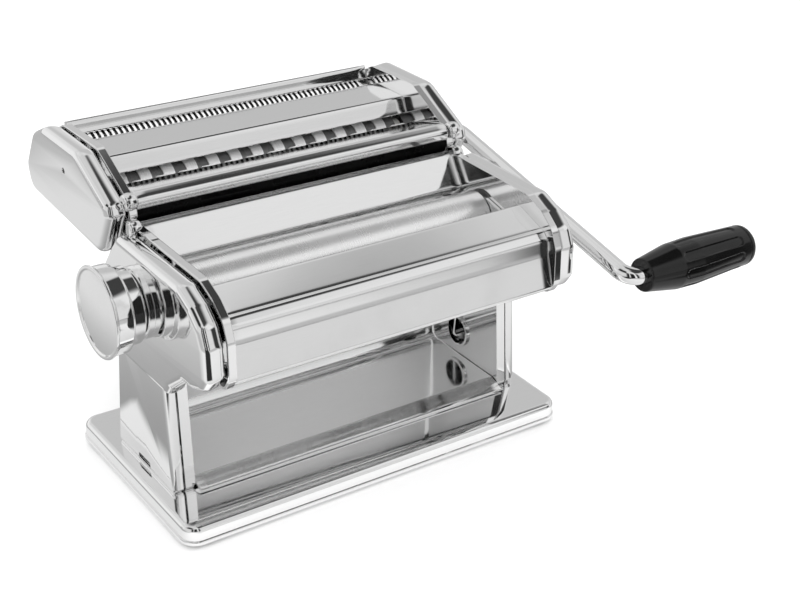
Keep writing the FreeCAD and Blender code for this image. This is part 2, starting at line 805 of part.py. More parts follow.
def yoke_slot():
    """The slot that the eccentric pin works in, across the block's travel."""
    middle_along = "(knob_y - front_y) * cos(tilt) - eccentric"
    middle_up = "(knob_y - front_y) * sin(tilt) - eccentric / 2"
    half = "(pin_radius + yoke_play)"
    high = "(pin_radius + eccentric / 2 + yoke_play)"
    return [(f"{middle_along} {right} {half}", f"{middle_up} {up} {high}")
            for right, up in (("-", "-"), ("+", "-"), ("+", "+"), ("-", "+"))]


def adjuster():
    """The knob's shaft with its eccentric pin, and its retaining washer."""
    body = doc.addObject("PartDesign::Body", "adjusting_shaft")
    flange_in, flange_out = "-yoke_out - 0.3", "-yoke_out - 2.3"
    turned(body, [
        (flange_in, "0"), (flange_in, "shaft_radius + 2"), (flange_out, "shaft_radius + 2"),
        (flange_out, "shaft_radius"), ("-knob_out + 9", "shaft_radius"),
        ("-knob_out + 9", "screw_radius + 1"), ("-knob_out + 4", "screw_radius + 1"),
        ("-knob_out + 4", "0"),
    ])
    sketch = sketch_in(body, "YZ_Plane", "-yoke_out - 0.5")
    circle(sketch, "-eccentric", "0", "pin_radius")
    pad(body, sketch, "yoke_out - block_out - 0.4")
    place(body, y="knob_y", z="front_z", rotation=about_x("-tilt"))
    node(body, "adjusting_shaft")
    node(bush("retainer", -1, "knob_out - 9", "knob_out - 7.4", "shaft_radius + 4", "screw_radius + 1",
              "knob_y", "front_z"), "knob_retainer")


def index_ring():
    """The fixed ring on the left cover with the round track of the knob's index pin."""
    body = doc.addObject("PartDesign::Body", "index_ring")
    turned(body, [
        ("-cover_out", "shaft_radius + running"), ("-cover_out", "ring_radius"),
        ("-ring_out", "ring_radius"),
        ("-ring_out", "track_radius + track_half"), ("-ring_out + track_deep", "track_radius + track_half"),
        ("-ring_out + track_deep", "track_radius - track_half"), ("-ring_out", "track_radius - track_half"),
        ("-ring_out", "shaft_radius + running"),
    ])
    place(body, y="knob_y", z="front_z")
    return node(body, "index_ring")


def knob():
    """The hollow thickness knob, its face and its index pin."""
    body = doc.addObject("PartDesign::Body", "thickness_knob")
    turned(body, [
        ("-knob_in", "shaft_radius + running"), ("-knob_in", "knob_neck"), ("-knob_in - 1.7", "knob_neck"),
        ("-knob_in - 1.7", "knob_step"), ("-knob_in - 7.7", "knob_step"), ("-knob_in - 8.7", "knob_band"),
        ("-knob_out + 2.4", "knob_band"), ("-knob_out + 2.4", "knob_band - 3.5"),
        ("-knob_in - 6", "knob_band - 5"), ("-knob_in - 6", "shaft_radius + running"),
    ])
    place(body, y="knob_y", z="front_z")
    node(body, "thickness_knob")
    face = doc.addObject("PartDesign::Body", "knob_face")
    turned(face, [
        ("-knob_out + 2.4", "0"), ("-knob_out + 2.4", "knob_lip - 0.4"), ("-knob_out + 2", "knob_lip"),
        ("-knob_out + 0.9", "knob_lip"), ("-knob_out + 0.6", "knob_lip - 0.6"),
        ("-knob_out + 0.6", "knob_lip - 3"), ("-knob_out + 0.1", "knob_lip - 8"), ("-knob_out", "0"),
    ])
    place(face, y="knob_y", z="front_z")
    node(face, "knob_face")
    pin = cylinder("index", "-knob_in", "-knob_in + 1.8", "index_radius", "knob_y", "front_z + track_radius")
    node(pin, "index_pin")


def knob_spring():
    """A few turns of round wire about the shaft, between the knob's web and the washer."""
    wire = number("spring_wire") / 2
    low = -number("knob_out - 9") + wire
    high = -number("knob_in + 6") - wire
    turns = number("spring_turns")
    radius = number("shaft_radius + 0.5") + wire
    helix = Part.makeHelix((high - low) / turns, high - low, radius)
    section = Part.Wire(Part.makeCircle(wire, Vector(radius, 0, 0), Vector(0, 1, 0)))
    coil = Part.Wire(helix.Edges).makePipeShell([section], True, True)
    item = doc.addObject("Part::Feature", "spring_coil")
    item.Shape = coil
    place(item, str(low), "knob_y", "front_z", FACING_X)
    return node(item, "knob_spring")


def groove_count(pitch, offset):
    """How many grooves a roller holds; the offset roller of a pair has one fewer."""
    return math.floor(2 * number("cutter_half") / number(pitch) - 0.2) - offset


def ringed_roller(name, y, z, pitch, groove, offset, driven):
    """A cutting roller: a cylinder with a row of square grooves, and its journals."""
    body = doc.addObject("PartDesign::Body", name)
    right = "drive_journal" if driven else "cutter_journal"
    count = groove_count(pitch, offset)
    core = "cutter_apart - cutter_radius - ring_clear"
    ringed = f"({count} * ({pitch}) + {pitch} - {groove}) / 2"
    profile = [
        ("-rim_out", "0"), ("-rim_out", "cutter_journal"), ("-cutter_half", "cutter_journal"),
        ("-cutter_half", core), (f"-{ringed}", core), (f"-{ringed}", "cutter_radius"),
        (ringed, "cutter_radius"), (ringed, core), ("cutter_half", core), ("cutter_half", right),
    ]
    floor = "socket_end - socket_deep"
    mouth = [("socket_end", right), ("socket_end", "socket"), (floor, "socket"), (floor, "0")]
    profile += mouth if driven else [("gear_out + 1", right), ("gear_out + 1", "0")]
    turned(body, profile)
    start = f"-{count} * ({pitch}) / 2 + ({pitch} - {groove}) / 2"
    sketch = sketch_in(body, "XY_Plane")
    path(sketch, [(start, core), (f"{start} + {groove}", core), (f"{start} + {groove}", "cutter_radius + 1"),
                  (start, "cutter_radius + 1")])
    cut = body.newObject("PartDesign::Groove", "groove")
    cut.Profile = sketch
    cut.ReferenceAxis = (sketch, ["H_Axis"])
    cut.Angle = 360
    doc.recompute()
    row = body.newObject("PartDesign::LinearPattern", "grooves")
    row.Originals = [cut]
    row.Direction = (sketch, ["H_Axis"])
    row.Mode = "Spacing"
    row.setExpression("Offset", bound(pitch))
    row.Occurrences = count
    body.Tip = row
    doc.recompute()
    if driven:
        socket_slot(body)
    place(body, y=y, z=z, rotation=about_x(CRANK_LEAN))
    return node(body, name)


def comb(name, y, z, pitch, groove, offset, side_y):
    """A stripping comb under one cutting roller: a bar with a finger in each groove."""
    body = doc.addObject("PartDesign::Body", name)
    count = groove_count(pitch, offset)
    core = "cutter_apart - cutter_radius - ring_clear"
    bar = sketch_in(body, "YZ_Plane", "-plate_in")
    low = "-cutter_radius - 3.4"
    path(bar, [(f"{side_y} * 1", low), (f"{side_y} * 5", low), (f"{side_y} * 5", "-cutter_radius - 0.6"),
               (f"{side_y} * 1", "-cutter_radius - 0.6")])
    pad(body, bar, "2 * plate_in")
    finger = sketch_in(body, "YZ_Plane", f"-{count} * ({pitch}) / 2 + ({pitch} - {groove}) / 2 + 0.3")
    path(finger, [(f"{side_y} * 1", "-cutter_radius - 1.5"), (f"{side_y} * 3", "-cutter_radius - 1.5"),
                  (f"{side_y} * 3", f"-({core}) - 0.3"), (f"{side_y} * 1", f"-({core}) - 0.3")])
    one = pad(body, finger, f"{groove} - 0.6")
    row = body.newObject("PartDesign::LinearPattern", "fingers")
    row.Originals = [one]
    row.Direction = (finger, ["N_Axis"])
    row.Mode = "Spacing"
    row.setExpression("Offset", bound(pitch))
    row.Occurrences = count
    body.Tip = row
    doc.recompute()
    return place(body, y=y, z=z)


CUTTERS = {
    "wide_front": ("wide_front_y", "wide_z", "wide_pitch", "wide_groove", 0, True, -1),
    "wide_rear": ("wide_front_y + cutter_apart", "wide_z", "wide_pitch", "wide_groove", 1, False, 1),
    "fine_front": ("fine_front_y", "fine_z", "fine_pitch", "fine_groove", 0, True, -1),
    "fine_rear": ("fine_front_y + cutter_apart", "fine_z", "fine_pitch", "fine_groove", 1, False, 1),
}


def cutter_rollers():
    """Both cutting pairs with their gears, combs and bushes."""
    bushes = []
    combs = {"wide": [], "fine": []}
    for name, (y, z, pitch, groove, offset, driven, side_y) in CUTTERS.items():
        ringed_roller(f"{name}_cutter", y, z, pitch, groove, offset, driven)
        angle = "0" if offset == 0 else "180 + 180 / cutter_teeth"
        bore = "drive_journal" if driven else "cutter_journal"
        gear(f"{name}_gear", "cutter_teeth", *CUTTER_GEAR, bore, y, z, angle)
        combs[name[:4]].append(comb(f"{name}_comb", y, z, pitch, groove, offset, side_y))
        for side in (1, -1):
            bore = "drive_journal" if driven and side > 0 else "cutter_journal"
            bushes.append(bush(f"{name}_bush", side, "cutter_half + 1", "rim_out", f"{bore} + 1.6",
                               f"{bore} + running", y, z))
    group("cutter_bushings", bushes)
    for kind, pair in combs.items():
        group(f"{kind}_combs", pair)


def cutter_plates():
    """Flanged side plates of the cutter unit with the bush holes."""
    outline = grown(CAP_OUTLINE, CAP_MIDDLE, "1")
    for side, hand in ((1, "right"), (-1, "left")):
        body = pan(f"{hand}_cutter_plate", side, outline, "plate_in", "rim_out", "plate_wall")
        sketch = sketch_in(body, "YZ_Plane", f"{side} * (plate_in - 1)")
        for y, z, _, _, _, driven, _ in CUTTERS.values():
            bore = "drive_journal" if driven and side > 0 else "cutter_journal"
            circle(sketch, y, z, f"{bore} + 1.6")
        pocket(body, sketch, "plate_wall + 2", side > 0)


def cutter_caps():
    """Outer caps of the cutter unit; the right one shows both drive sockets."""
    for side, hand in ((1, "right"), (-1, "left")):
        body = pan(f"{hand}_cutter_cap", side, CAP_OUTLINE, "cover_out", "cover_in", "thin_wall",
                   "cover_round")
        sketch = sketch_in(body, "YZ_Plane", f"{side} * (cover_out - 2 * thin_wall)")
        if side > 0:
            circle(sketch, "wide_front_y", "wide_z", "drive_journal + 1.6")
            circle(sketch, "fine_front_y", "fine_z", "drive_journal + 1.6")
        else:
            circle(sketch, "74.8", "cap_top - 14.7", "1.5")
        pocket(body, sketch, "3 * thin_wall", side > 0)


def cutter_sheets():
    """Chute, roof and rear wall of the cutter unit, and its tie rods and hooks."""
    bent_sheet("cutter_front_chute", [
        ("23.5", "cap_top - 24.5"), ("23.5", "cap_top - 14.1", "1.6"), ("28", "cap_top - 12.3", "1.6"),
        ("52", "cap_top - 18.8"),
    ], "thin_wall", "plate_in")
    roof = "fine_z + cutter_radius + 1.4"
    bent_sheet("cutter_roof", [
        ("73", "cap_top - 18.2"), ("67.4", roof, "1.5"), ("92", roof),
    ], "thin_wall", "plate_in")
    bent_sheet("cutter_rear_wall", [
        ("106.5", "cap_top - 1.1"), ("106.5", "cap_top - 7.5", "2"), ("118.4", "cap_top - 11.9", "4"),
        ("122.3", "cap_top - 27.5", "6"),
        ("118.6", "cap_top - 39"),
    ], "thin_wall", "plate_in")
    rods = [
        cylinder("front_tie", "-plate_in", "plate_in", "tie_rod", "50", "cap_top - 39.5"),
        cylinder("rear_tie", "-plate_in", "plate_in", "tie_rod", "115", "cap_top - 36.5"),
    ]
    group("cutter_tie_rods", rods)
    notch = "(hook_rod + 0.3)"
    low = "hook_z - hook_rod - 0.6"
    hook = [
        ("22.4", low), ("22.4", "hook_z + 4"), ("hook_y + 1", "hook_z + 9"), ("46", "hook_z + 12"),
        ("46", "hook_z + 2"), (f"hook_y + {notch} + 2.4", low), (f"hook_y + {notch}", low),
        (f"hook_y + {notch}", f"hook_z + {notch}"), (f"hook_y - {notch}", f"hook_z + {notch}"),
        (f"hook_y - {notch}", low),
    ]
    for side, hand in ((1, "right"), (-1, "left")):
        body = doc.addObject("PartDesign::Body", f"{hand}_cutter_hook")
        prism(body, hook, side, "plate_in - 2.5", "plate_in")
        node(body, f"{hand}_cutter_hook")


def crank():
    """The bent rod, its drive pin, the hollow grip and its end cap."""
    body = doc.addObject("PartDesign::Body", "crank_rod")
    reach = "sqrt((grip_y - wide_front_y)^2 + (grip_z - wide_z)^2)"
    spine = sketch_in(body, "XY_Plane")
    bend = number("crank_bend")
    plane = number("crank_plane")
    tip = number("crank_tip")
    end = number("grip_end")
    long = number(reach)
    spine.addGeometry(Part.LineSegment(Vector(tip, 0, 0), Vector(plane - bend, 0, 0)), False)
    first = Part.Circle(Vector(plane - bend, bend, 0), Vector(0, 0, 1), bend)
    spine.addGeometry(Part.ArcOfCircle(first, -math.pi / 2, 0), False)
    spine.addGeometry(Part.LineSegment(Vector(plane, bend, 0), Vector(plane, long - bend, 0)), False)
    second = Part.Circle(Vector(plane + bend, long - bend, 0), Vector(0, 0, 1), bend)
    spine.addGeometry(Part.ArcOfCircle(second, math.pi / 2, math.pi), False)
    spine.addGeometry(Part.LineSegment(Vector(plane + bend, long, 0), Vector(end, long, 0)), False)
    for line, line_end, following, following_end in (
        (0, 2, 1, 1), (1, 2, 2, 1), (2, 2, 3, 2), (3, 1, 4, 1),
    ):
        spine.addConstraint(Sketcher.Constraint("Tangent", line, line_end, following, following_end))
    pin_point(spine, 0, 1, "crank_tip", "0")
    spine.addConstraint(Sketcher.Constraint("Horizontal", 0))
    spine.addConstraint(Sketcher.Constraint("Equal", 1, 3))
    held = spine.addConstraint(Sketcher.Constraint("Radius", 1, bend))
    spine.setExpression(f"Constraints[{held}]", bound("crank_bend"))
    held = spine.addConstraint(Sketcher.Constraint("DistanceX", -1, 1, 2, 1, plane))
    spine.setExpression(f"Constraints[{held}]", bound("crank_plane"))
    pin_point(spine, 4, 2, "grip_end", reach)
    spine.addConstraint(Sketcher.Constraint("Vertical", 2))
    section = sketch_in(body, "YZ_Plane", "crank_tip")
    circle(section, "0", "0", "crank_radius")
    doc.recompute()
    pipe = body.newObject("PartDesign::AdditivePipe", "rod")
    pipe.Profile = section
    pipe.Spine = spine
    doc.recompute()
    hole = sketch_in(body, "XY_Plane", "-crank_radius - 1")
    circle(hole, "socket_end - 1.7", "0", "index_radius")
    pocket(body, hole, "2 * crank_radius + 2")
    place(body, y="wide_front_y", z="wide_z", rotation=about_x(CRANK_LEAN))
    node(body, "crank_rod")
    pin = doc.addObject("Part::Cylinder", "cross_pin")
    half = "(drive_journal - 0.3)"
    pin.setExpression("Radius", bound("index_radius"))
    pin.setExpression("Height", bound(f"2 * {half}"))
    place(pin, "socket_end - 1.7", f"wide_front_y + {half} * sin({CRANK_LEAN})",
          f"wide_z - {half} * cos({CRANK_LEAN})", about_x(CRANK_LEAN))
    node(pin, "drive_pin")


def grip():
    """The turning grip with a cone at its root, long flutes and a domed cap."""
    body = doc.addObject("PartDesign::Body", "crank_grip")
    turned(body, [
        ("grip_start", "crank_radius + running"), ("grip_start", "grip_base - 0.6"),
        ("grip_start + 0.6", "grip_base"), ("grip_start + 3", "grip_base"),
        ("grip_start + 20", "grip_body - 0.4"), ("grip_start + 34", "grip_body"),
        ("grip_end - 2", "grip_tail"), ("grip_end - 2", "crank_radius + running"),
    ])
    flute = sketch_in(body, "YZ_Plane", "grip_start + 22")
    circle(flute, "grip_body + flute_radius - flute_deep", "0", "flute_radius")
    one = pocket(body, flute, "grip_end - grip_start - 32")
    row = body.newObject("PartDesign::PolarPattern", "flutes")
    row.Originals = [one]
    row.Axis = (flute, ["N_Axis"])
    row.Angle = 360
    row.setExpression("Occurrences", bound("grip_flutes"))
    body.Tip = row
    doc.recompute()
    place(body, y="grip_y", z="grip_z")
    node(body, "crank_grip")
    cap = doc.addObject("PartDesign::Body", "grip_end_cap")
    turned(cap, [
        ("grip_end + 0.4", "0"), ("grip_end + 0.4", "crank_radius"), ("grip_end - 1.8", "crank_radius + 1"),
        ("grip_end - 1.8", "grip_tail - 0.4"), ("grip_end", "grip_tail"),
        ("grip_end + 2", "grip_tail - 0.6"),
        ("end_cap - 0.8", "grip_tail - 4"), ("end_cap", "0"),
    ])
    place(cap, y="grip_y", z="grip_z")
    node(cap, "grip_end_cap")


base_plate()
rubber_feet()
foot_screws()
uprights()
side_plates()
side_covers()
tie_rods()
body_sheets()
smooth_rollers()
cradle()
adjuster()
index_ring()
knob()
knob_spring()
cutter_rollers()
cutter_plates()
cutter_caps()
cutter_sheets()
crank()
grip()
doc.recompute()

for item in doc.Objects:
    if "Invalid" in item.State or "Error" in item.State:
        raise RuntimeError(f"{item.Label} did not build: {item.State}")
for item in NODES:
    if item.Shape.isNull() or not item.Shape.isValid():
        raise RuntimeError(f"{item.Label} has no valid shape")

os.makedirs("parts", exist_ok=True)
for item in NODES:
    item.Shape.exportStep(os.path.join("parts", item.Label + ".step"))
print(len(NODES), "sub-parts written")
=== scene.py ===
"""Looks of a hand-cranked pasta machine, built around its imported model."""
import json
import math

import bmesh
import bpy
import numpy as np
from mathutils import Matrix, Vector
from mathutils.geometry import tessellate_polygon


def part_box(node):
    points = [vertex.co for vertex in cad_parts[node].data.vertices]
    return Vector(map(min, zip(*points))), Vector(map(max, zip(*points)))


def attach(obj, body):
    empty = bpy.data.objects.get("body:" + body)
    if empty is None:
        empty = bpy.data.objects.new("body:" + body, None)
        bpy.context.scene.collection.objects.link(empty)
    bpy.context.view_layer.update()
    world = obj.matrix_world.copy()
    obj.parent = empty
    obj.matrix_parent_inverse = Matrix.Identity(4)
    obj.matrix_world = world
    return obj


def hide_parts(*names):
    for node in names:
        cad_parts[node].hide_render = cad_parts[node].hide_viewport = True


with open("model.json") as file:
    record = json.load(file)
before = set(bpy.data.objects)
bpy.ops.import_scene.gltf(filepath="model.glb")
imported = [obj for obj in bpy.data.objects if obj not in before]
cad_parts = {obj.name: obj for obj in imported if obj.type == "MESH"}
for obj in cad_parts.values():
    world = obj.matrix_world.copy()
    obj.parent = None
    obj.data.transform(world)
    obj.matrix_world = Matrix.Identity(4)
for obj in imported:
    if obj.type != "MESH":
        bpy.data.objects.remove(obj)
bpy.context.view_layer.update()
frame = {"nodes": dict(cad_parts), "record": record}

MM = 0.001
# The angle between two faces, in degrees, past which their edge stays sharp
SHARP = 32.0
# The distance, in metres, within which points are merged
MERGE = 2e-6
SIDES = (("left", -1.0), ("right", 1.0))
NODES = frame["nodes"]
SLOTS = {part["node"]: part["material_slot"] for part in frame["record"]["subparts"]}


def span(node):
    """A node's lowest and highest corner in millimetres."""
    low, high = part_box(node)
    return np.array(low) / MM, np.array(high) / MM


# Sizes read from the frame, in millimetres
PLATE_IN = span("right_side_plate")[0][0]
COVER_IN, COVER_OUT = span("right_side_cover")[0][0], span("right_side_cover")[1][0]
UPRIGHT_IN, UPRIGHT_OUT = span("right_upright_outer")[0][0], span("right_upright_outer")[1][0]
BODY_TOP = span("right_side_cover")[1][2]
SKIRT_LOW = span("right_side_cover")[0][2]
BASE_TOP = span("base_plate")[1][2]
BASE_LOW = span("base_plate")[0][2]
BASE_HALF = span("base_plate")[1][:2]
KNOB_IN, KNOB_OUT = span("thickness_knob")[1][0], span("knob_face")[0][0]
GRIP_START, GRIP_END = span("crank_grip")[0][0], span("crank_grip")[1][0]
CAP_END = span("grip_end_cap")[1][0]

# Sizes set here, in millimetres; an axis along X is given across and up
CAP_TOP = 161.5
KNOB_Y, KNOB_Z = -5.4, BODY_TOP - 24.9
GRIP_Y, GRIP_Z = -93.5, BODY_TOP - 34.8
REAR_AXIS = (23.322, 97.882)
WIDE_AXIS = (58.6, 130.9)
FINE_AXIS = (89.9, 142.1)
CUTTER_PITCH = 16.6
DRIVE_HOLE = 8.0
# Across, up and radius of the small hole in the left cap
CAP_HOLE = (74.8, CAP_TOP - 14.7, 1.5)
# The radius of a corner that isn't rounded
TIGHT = 0.01
# The sheets' thickness, and the length over which a hem runs out
SHEET, HEM_END = 0.9, 0.6
# Covers and caps: their gap to the plates, their wall, their rounded edge and their rim's bulge
SEAM, SHELL_WALL, SHELL_EDGE, SHELL_SWELL = 0.6, 1.0, 4.2, 1.1
# Uprights: their wall and their rounded edge
CHANNEL_WALL, CHANNEL_EDGE = 1.2, 2.4

# Camera, fitted to the photograph: its lens, its place in millimetres, where it looks and what is up
LENS = 68.53
CAMERA_PLACE = (-379.1, -591.5, 443.6)
CAMERA_LOOK = (0.5195, 0.7203, -0.4597)
CAMERA_UP = (0.2376, 0.3949, 0.8874)


def make_camera():
    """A camera at the photograph's angle and distance."""
    data = bpy.data.cameras.new("camera")
    data.sensor_width = 36.0
    data.lens = LENS
    data.clip_start = 0.05
    camera = bpy.data.objects.new("camera", data)
    bpy.context.scene.collection.objects.link(camera)
    back = -Vector(CAMERA_LOOK).normalized()
    right = Vector(CAMERA_UP).cross(back).normalized()
    up = back.cross(right)
    turn = Matrix((right, up, back)).transposed().to_4x4()
    camera.matrix_world = Matrix.Translation(Vector(CAMERA_PLACE) * MM) @ turn
    bpy.context.scene.camera = camera


# Node trees
class Tree:
    """A short way to write a tree of shader nodes."""

    def __init__(self, owner):
        owner.use_nodes = True
        self.tree = owner.node_tree
        self.tree.nodes.clear()

    def add(self, kind, inputs=None, **settings):
        """A new node with its settings, its inputs linked to sockets or set to values."""
        node = self.tree.nodes.new("ShaderNode" + kind)
        for key, value in settings.items():
            setattr(node, key, value)
        for key, value in (inputs or {}).items():
            if isinstance(value, bpy.types.Node):
                value = value.outputs[0]
            if isinstance(value, bpy.types.NodeSocket):
                self.tree.links.new(value, node.inputs[key])
            else:
                node.inputs[key].default_value = value
        return node

    def math(self, operation, first, second=0.0, third=0.0):
        """A maths node on up to three values."""
        return self.add("Math", {0: first, 1: second, 2: third}, operation=operation)

    def fit(self, value, low, high, to_low, to_high):
        """A value's range mapped onto another, held within it."""
        return self.add("MapRange", {"Value": value, "From Min": low, "From Max": high,
                                     "To Min": to_low, "To Max": to_high})

    def soft(self, value, low, high):
        """A smooth step from 0 to 1, or from 1 to 0 where low is above high."""
        step = self.fit(value, min(low, high), max(low, high), float(low > high), float(low < high))
        step.interpolation_type = "SMOOTHSTEP"
        return step

    def blend(self, factor, first, second):
        """Two colours mixed by a factor."""
        mix = self.add("Mix", {0: factor, 6: first, 7: second}, data_type="RGBA")
        return mix.outputs[2]

    def mix(self, factor, first, second):
        """Two values mixed by a factor."""
        return self.add("Mix", {0: factor, 2: first, 3: second}, data_type="FLOAT").outputs[0]

    def noise(self, where, scale, detail, rough):
        """Fractal noise from 0 to 1."""
        return self.add("TexNoise", {"Vector": where, "Scale": scale, "Detail": detail, "Roughness": rough})

    def within(self, ahead, azimuth, half, soft):
        """1 where a level direction is less than half a width off an azimuth, with a soft step to 0."""
        middle = (sine(azimuth), cosine(azimuth), 0.0)
        near = self.add("VectorMath", {0: ahead, 1: middle}, operation="DOT_PRODUCT").outputs["Value"]
        return self.soft(near, cosine(half + soft), cosine(half - soft))


def sine(angle):
    """The sine of an angle in degrees."""
    return math.sin(math.radians(angle))


def cosine(angle):
    """The cosine of an angle in degrees."""
    return math.cos(math.radians(angle))


def rgb(level, tint=(1.0, 1.0, 1.0)):
    """A grey of one level, lightly tinted."""
    return (level * tint[0], level * tint[1], level * tint[2], 1.0)


# Studio

# The room that the chrome shows: each card has an azimuth from +Y towards +X, half its width, the
# elevations of its lower and upper edge, the softness of its edges, all in degrees, and a level
ROOM = 0.7
CARDS = [
    (-35.0, 40.0, -12.0, 30.0, 12.0, 0.9),
    (36.0, 20.0, 12.0, 48.0, 8.0, 0.56),
    (158.0, 20.0, -14.0, 22.0, 5.0, 0.74),
    (138.0, 14.0, 25.0, 48.0, 4.0, 0.84),
    (120.0, 65.0, 53.0, 82.0, 6.0, 0.05),
    (-104.0, 24.0, 38.0, 64.0, 5.0, 0.03),
    (-155.0, 28.0, -8.0, 46.0, 5.0, 0.015),
    (-168.0, 3.0, -20.0, 60.0, 3.0, 0.9),
    (-142.0, 2.0, -20.0, 60.0, 2.0, 0.7),
    (131.0, 9.5, -8.0, 22.0, 3.0, 0.04),
    (-58.0, 5.0, 1.0, 9.0, 3.0, 0.05),
]
# Painted shadows on the table, shown only in the chrome: azimuth, half the width, and the distance at which
# each starts
SHADOWS = [(-146.0, 20.0, 0.21), (131.0, 9.0, 0.3)]
SHADOW_FADE, SHADOW_SOFT = 0.08, 3.0
# The table's tones: as paper, and in the chrome: painted shade near the machine, then further out, at its
# front, far away, and in its painted shadows
PAPER_TONE = 0.8
NEAR_SHADE_TONE, OUT_TONE, FRONT_TONE, FAR_TONE, PAINTED_SHADOW_TONE = 0.3, 0.54, 0.6, 0.36, 0.02
# Where those tones blend, in metres from the middle, and for the front along Y
OUT_REACH, FRONT_REACH, FAR_REACH = (0.14, 0.34), (-0.04, -0.09), (0.4, 0.6)
# A painted glow on the table right beside the base, which only the chrome shows: where it fades, in metres,
# and its strength in the chrome; then the table's even glow to the camera
BAND, PAINTED_GLOW_STRENGTH, CAMERA_GLOW = (0.024, 0.012), 0.5, 0.15
# The table's half width, and how far it lies below the feet, in metres
FLOOR_HALF, FLOOR_DROP = 6.0, 0.0002
# Soft lamps with their places and sizes in metres and their watts, and the point that they look at
LAMPS = [("key", (-1.1, -1.3, 1.6), 1.4, 24.0), ("side", (1.6, -0.6, 1.2), 1.2, 9.0),
         ("back", (0.3, 1.8, 1.3), 1.6, 10.0)]
LAMP_AIM = (0.0, 0.0, 0.08)


def make_room():
    """A pale room with faint streaks, and cards that only reflections show."""
    world = bpy.data.worlds.new("studio")
    bpy.context.scene.world = world
    t = Tree(world)
    direction = t.add("TexCoord").outputs["Generated"]
    parts = t.add("SeparateXYZ", {0: direction}).outputs
    flat = t.add("CombineXYZ", {0: parts[0], 1: parts[1]})
    ahead = t.add("VectorMath", {0: flat}, operation="NORMALIZE").outputs[0]
    streaks = t.noise(t.add("Mapping", {"Vector": direction, "Scale": (1.0, 1.0, 2.6)}), 1.7, 2.0, 0.45)
    level = t.fit(streaks, 0.3, 0.7, ROOM * 0.88, ROOM * 1.12)
    for azimuth, half, low, high, soft, shade in CARDS:
        above = t.soft(parts[2], sine(low - soft), sine(low + soft))
        mask = t.math("MULTIPLY", t.within(ahead, azimuth, half, soft), above)
        below = t.soft(parts[2], sine(high + soft), sine(high - soft))
        level = t.mix(t.math("MULTIPLY", mask, below), level, shade)
    path = t.add("LightPath")
    glossy = t.math("MAXIMUM", path.outputs["Is Glossy Ray"], path.outputs["Is Transmission Ray"])
    seen = t.blend(glossy.outputs[0], rgb(1.0), level)
    shown = t.blend(path.outputs["Is Camera Ray"], seen, rgb(1.0))
    light = t.add("Background", {"Color": shown, "Strength": 1.0})
    t.add("OutputWorld", {"Surface": light})


def make_floor():
    """A white floor whose tone in the chrome changes with the distance and direction from the machine:
    painted shade near it, painted shadows in some directions and a painted glow beside the base.
    """
    size = FLOOR_HALF
    mesh = bpy.data.meshes.new("floor")
    mesh.from_pydata([(-size, -size, 0), (size, -size, 0), (size, size, 0), (-size, size, 0)], [],
                     [(0, 1, 2, 3)])
    floor = bpy.data.objects.new("floor", mesh)
    bpy.context.scene.collection.objects.link(floor)
    floor.location.z = -FLOOR_DROP
    paper = bpy.data.materials.new("paper")
    t = Tree(paper)
    path = t.add("LightPath")
    spot = t.add("TexCoord").outputs["Object"]
    reach = t.add("VectorMath", {0: spot}, operation="LENGTH").outputs["Value"]
    sides = t.add("SeparateXYZ", {0: spot}).outputs
    beside = [t.math("SUBTRACT", t.math("ABSOLUTE", sides[axis]), BASE_HALF[axis] * MM) for axis in (0, 1)]
    # Painted glow: the table right beside the base shines in the chrome, though no lamp lights it there
    close = t.soft(t.math("MAXIMUM", *beside), *BAND)
    painted_glow = t.math("MULTIPLY", path.outputs["Is Glossy Ray"], close)
    plain = t.math("MULTIPLY", path.outputs["Is Camera Ray"], CAMERA_GLOW)
    strength = t.math("MULTIPLY_ADD", painted_glow, PAINTED_GLOW_STRENGTH, plain)
    glow = t.add("Emission", {"Color": rgb(1.0), "Strength": strength})
    ahead = t.add("VectorMath", {0: spot}, operation="NORMALIZE").outputs[0]
    # Painted shade: the table's tone in the chrome is darker near the machine, lighter further out and at
    # its front
    painted_shade_tone = t.blend(t.soft(reach, *OUT_REACH), rgb(NEAR_SHADE_TONE), rgb(OUT_TONE))
    painted_shade_tone = t.blend(t.soft(sides[1], *FRONT_REACH), painted_shade_tone, rgb(FRONT_TONE))
    painted_shade_tone = t.blend(t.soft(reach, *FAR_REACH), painted_shade_tone, rgb(FAR_TONE))
    # Painted shadows: dark stretches of the table in the chrome
    for azimuth, half, start in SHADOWS:
        mask = t.math("MULTIPLY", t.within(ahead, azimuth, half, SHADOW_SOFT),
                      t.soft(reach, start, start + SHADOW_FADE))
        painted_shade_tone = t.blend(mask.outputs[0], painted_shade_tone, rgb(PAINTED_SHADOW_TONE))
    tone = t.blend(path.outputs["Is Glossy Ray"], rgb(PAPER_TONE), painted_shade_tone)
    matt = t.add("BsdfDiffuse", {"Color": tone})
    t.add("OutputMaterial", {"Surface": t.add("AddShader", {0: glow, 1: matt})})
    mesh.materials.append(paper)


def make_lamp(name, place, size, watts):
    """A soft square lamp that looks at the machine and doesn't show in its chrome."""
    data = bpy.data.lights.new(name, "AREA")
    data.size = size
    data.energy = watts
    item = bpy.data.objects.new(name, data)
    bpy.context.scene.collection.objects.link(item)
    item.location = place
    item.rotation_euler = (Vector(LAMP_AIM) - Vector(place)).to_track_quat("-Z", "Y").to_euler()
    item.visible_glossy = False


# Materials

# How the noise is stretched for lines turned round an axis along X
ROUND_LINES = (220.0, 6.0, 6.0)
# A dull front: the height over which it turns dull in millimetres, its roughness, and how metallic it is
DULL_FADE, DULL_ROUGH, DULL_METALLIC = 6.0, 0.42, 0.1
# Painted shade: the tones of a cutter's hollows and of its recesses, and the radii between which the
# recesses end
HOLLOW_SHADE_TONE, RECESS_SHADE_TONE, RECESS_RADII = 0.04, 0.2, (7.6, 8.7)


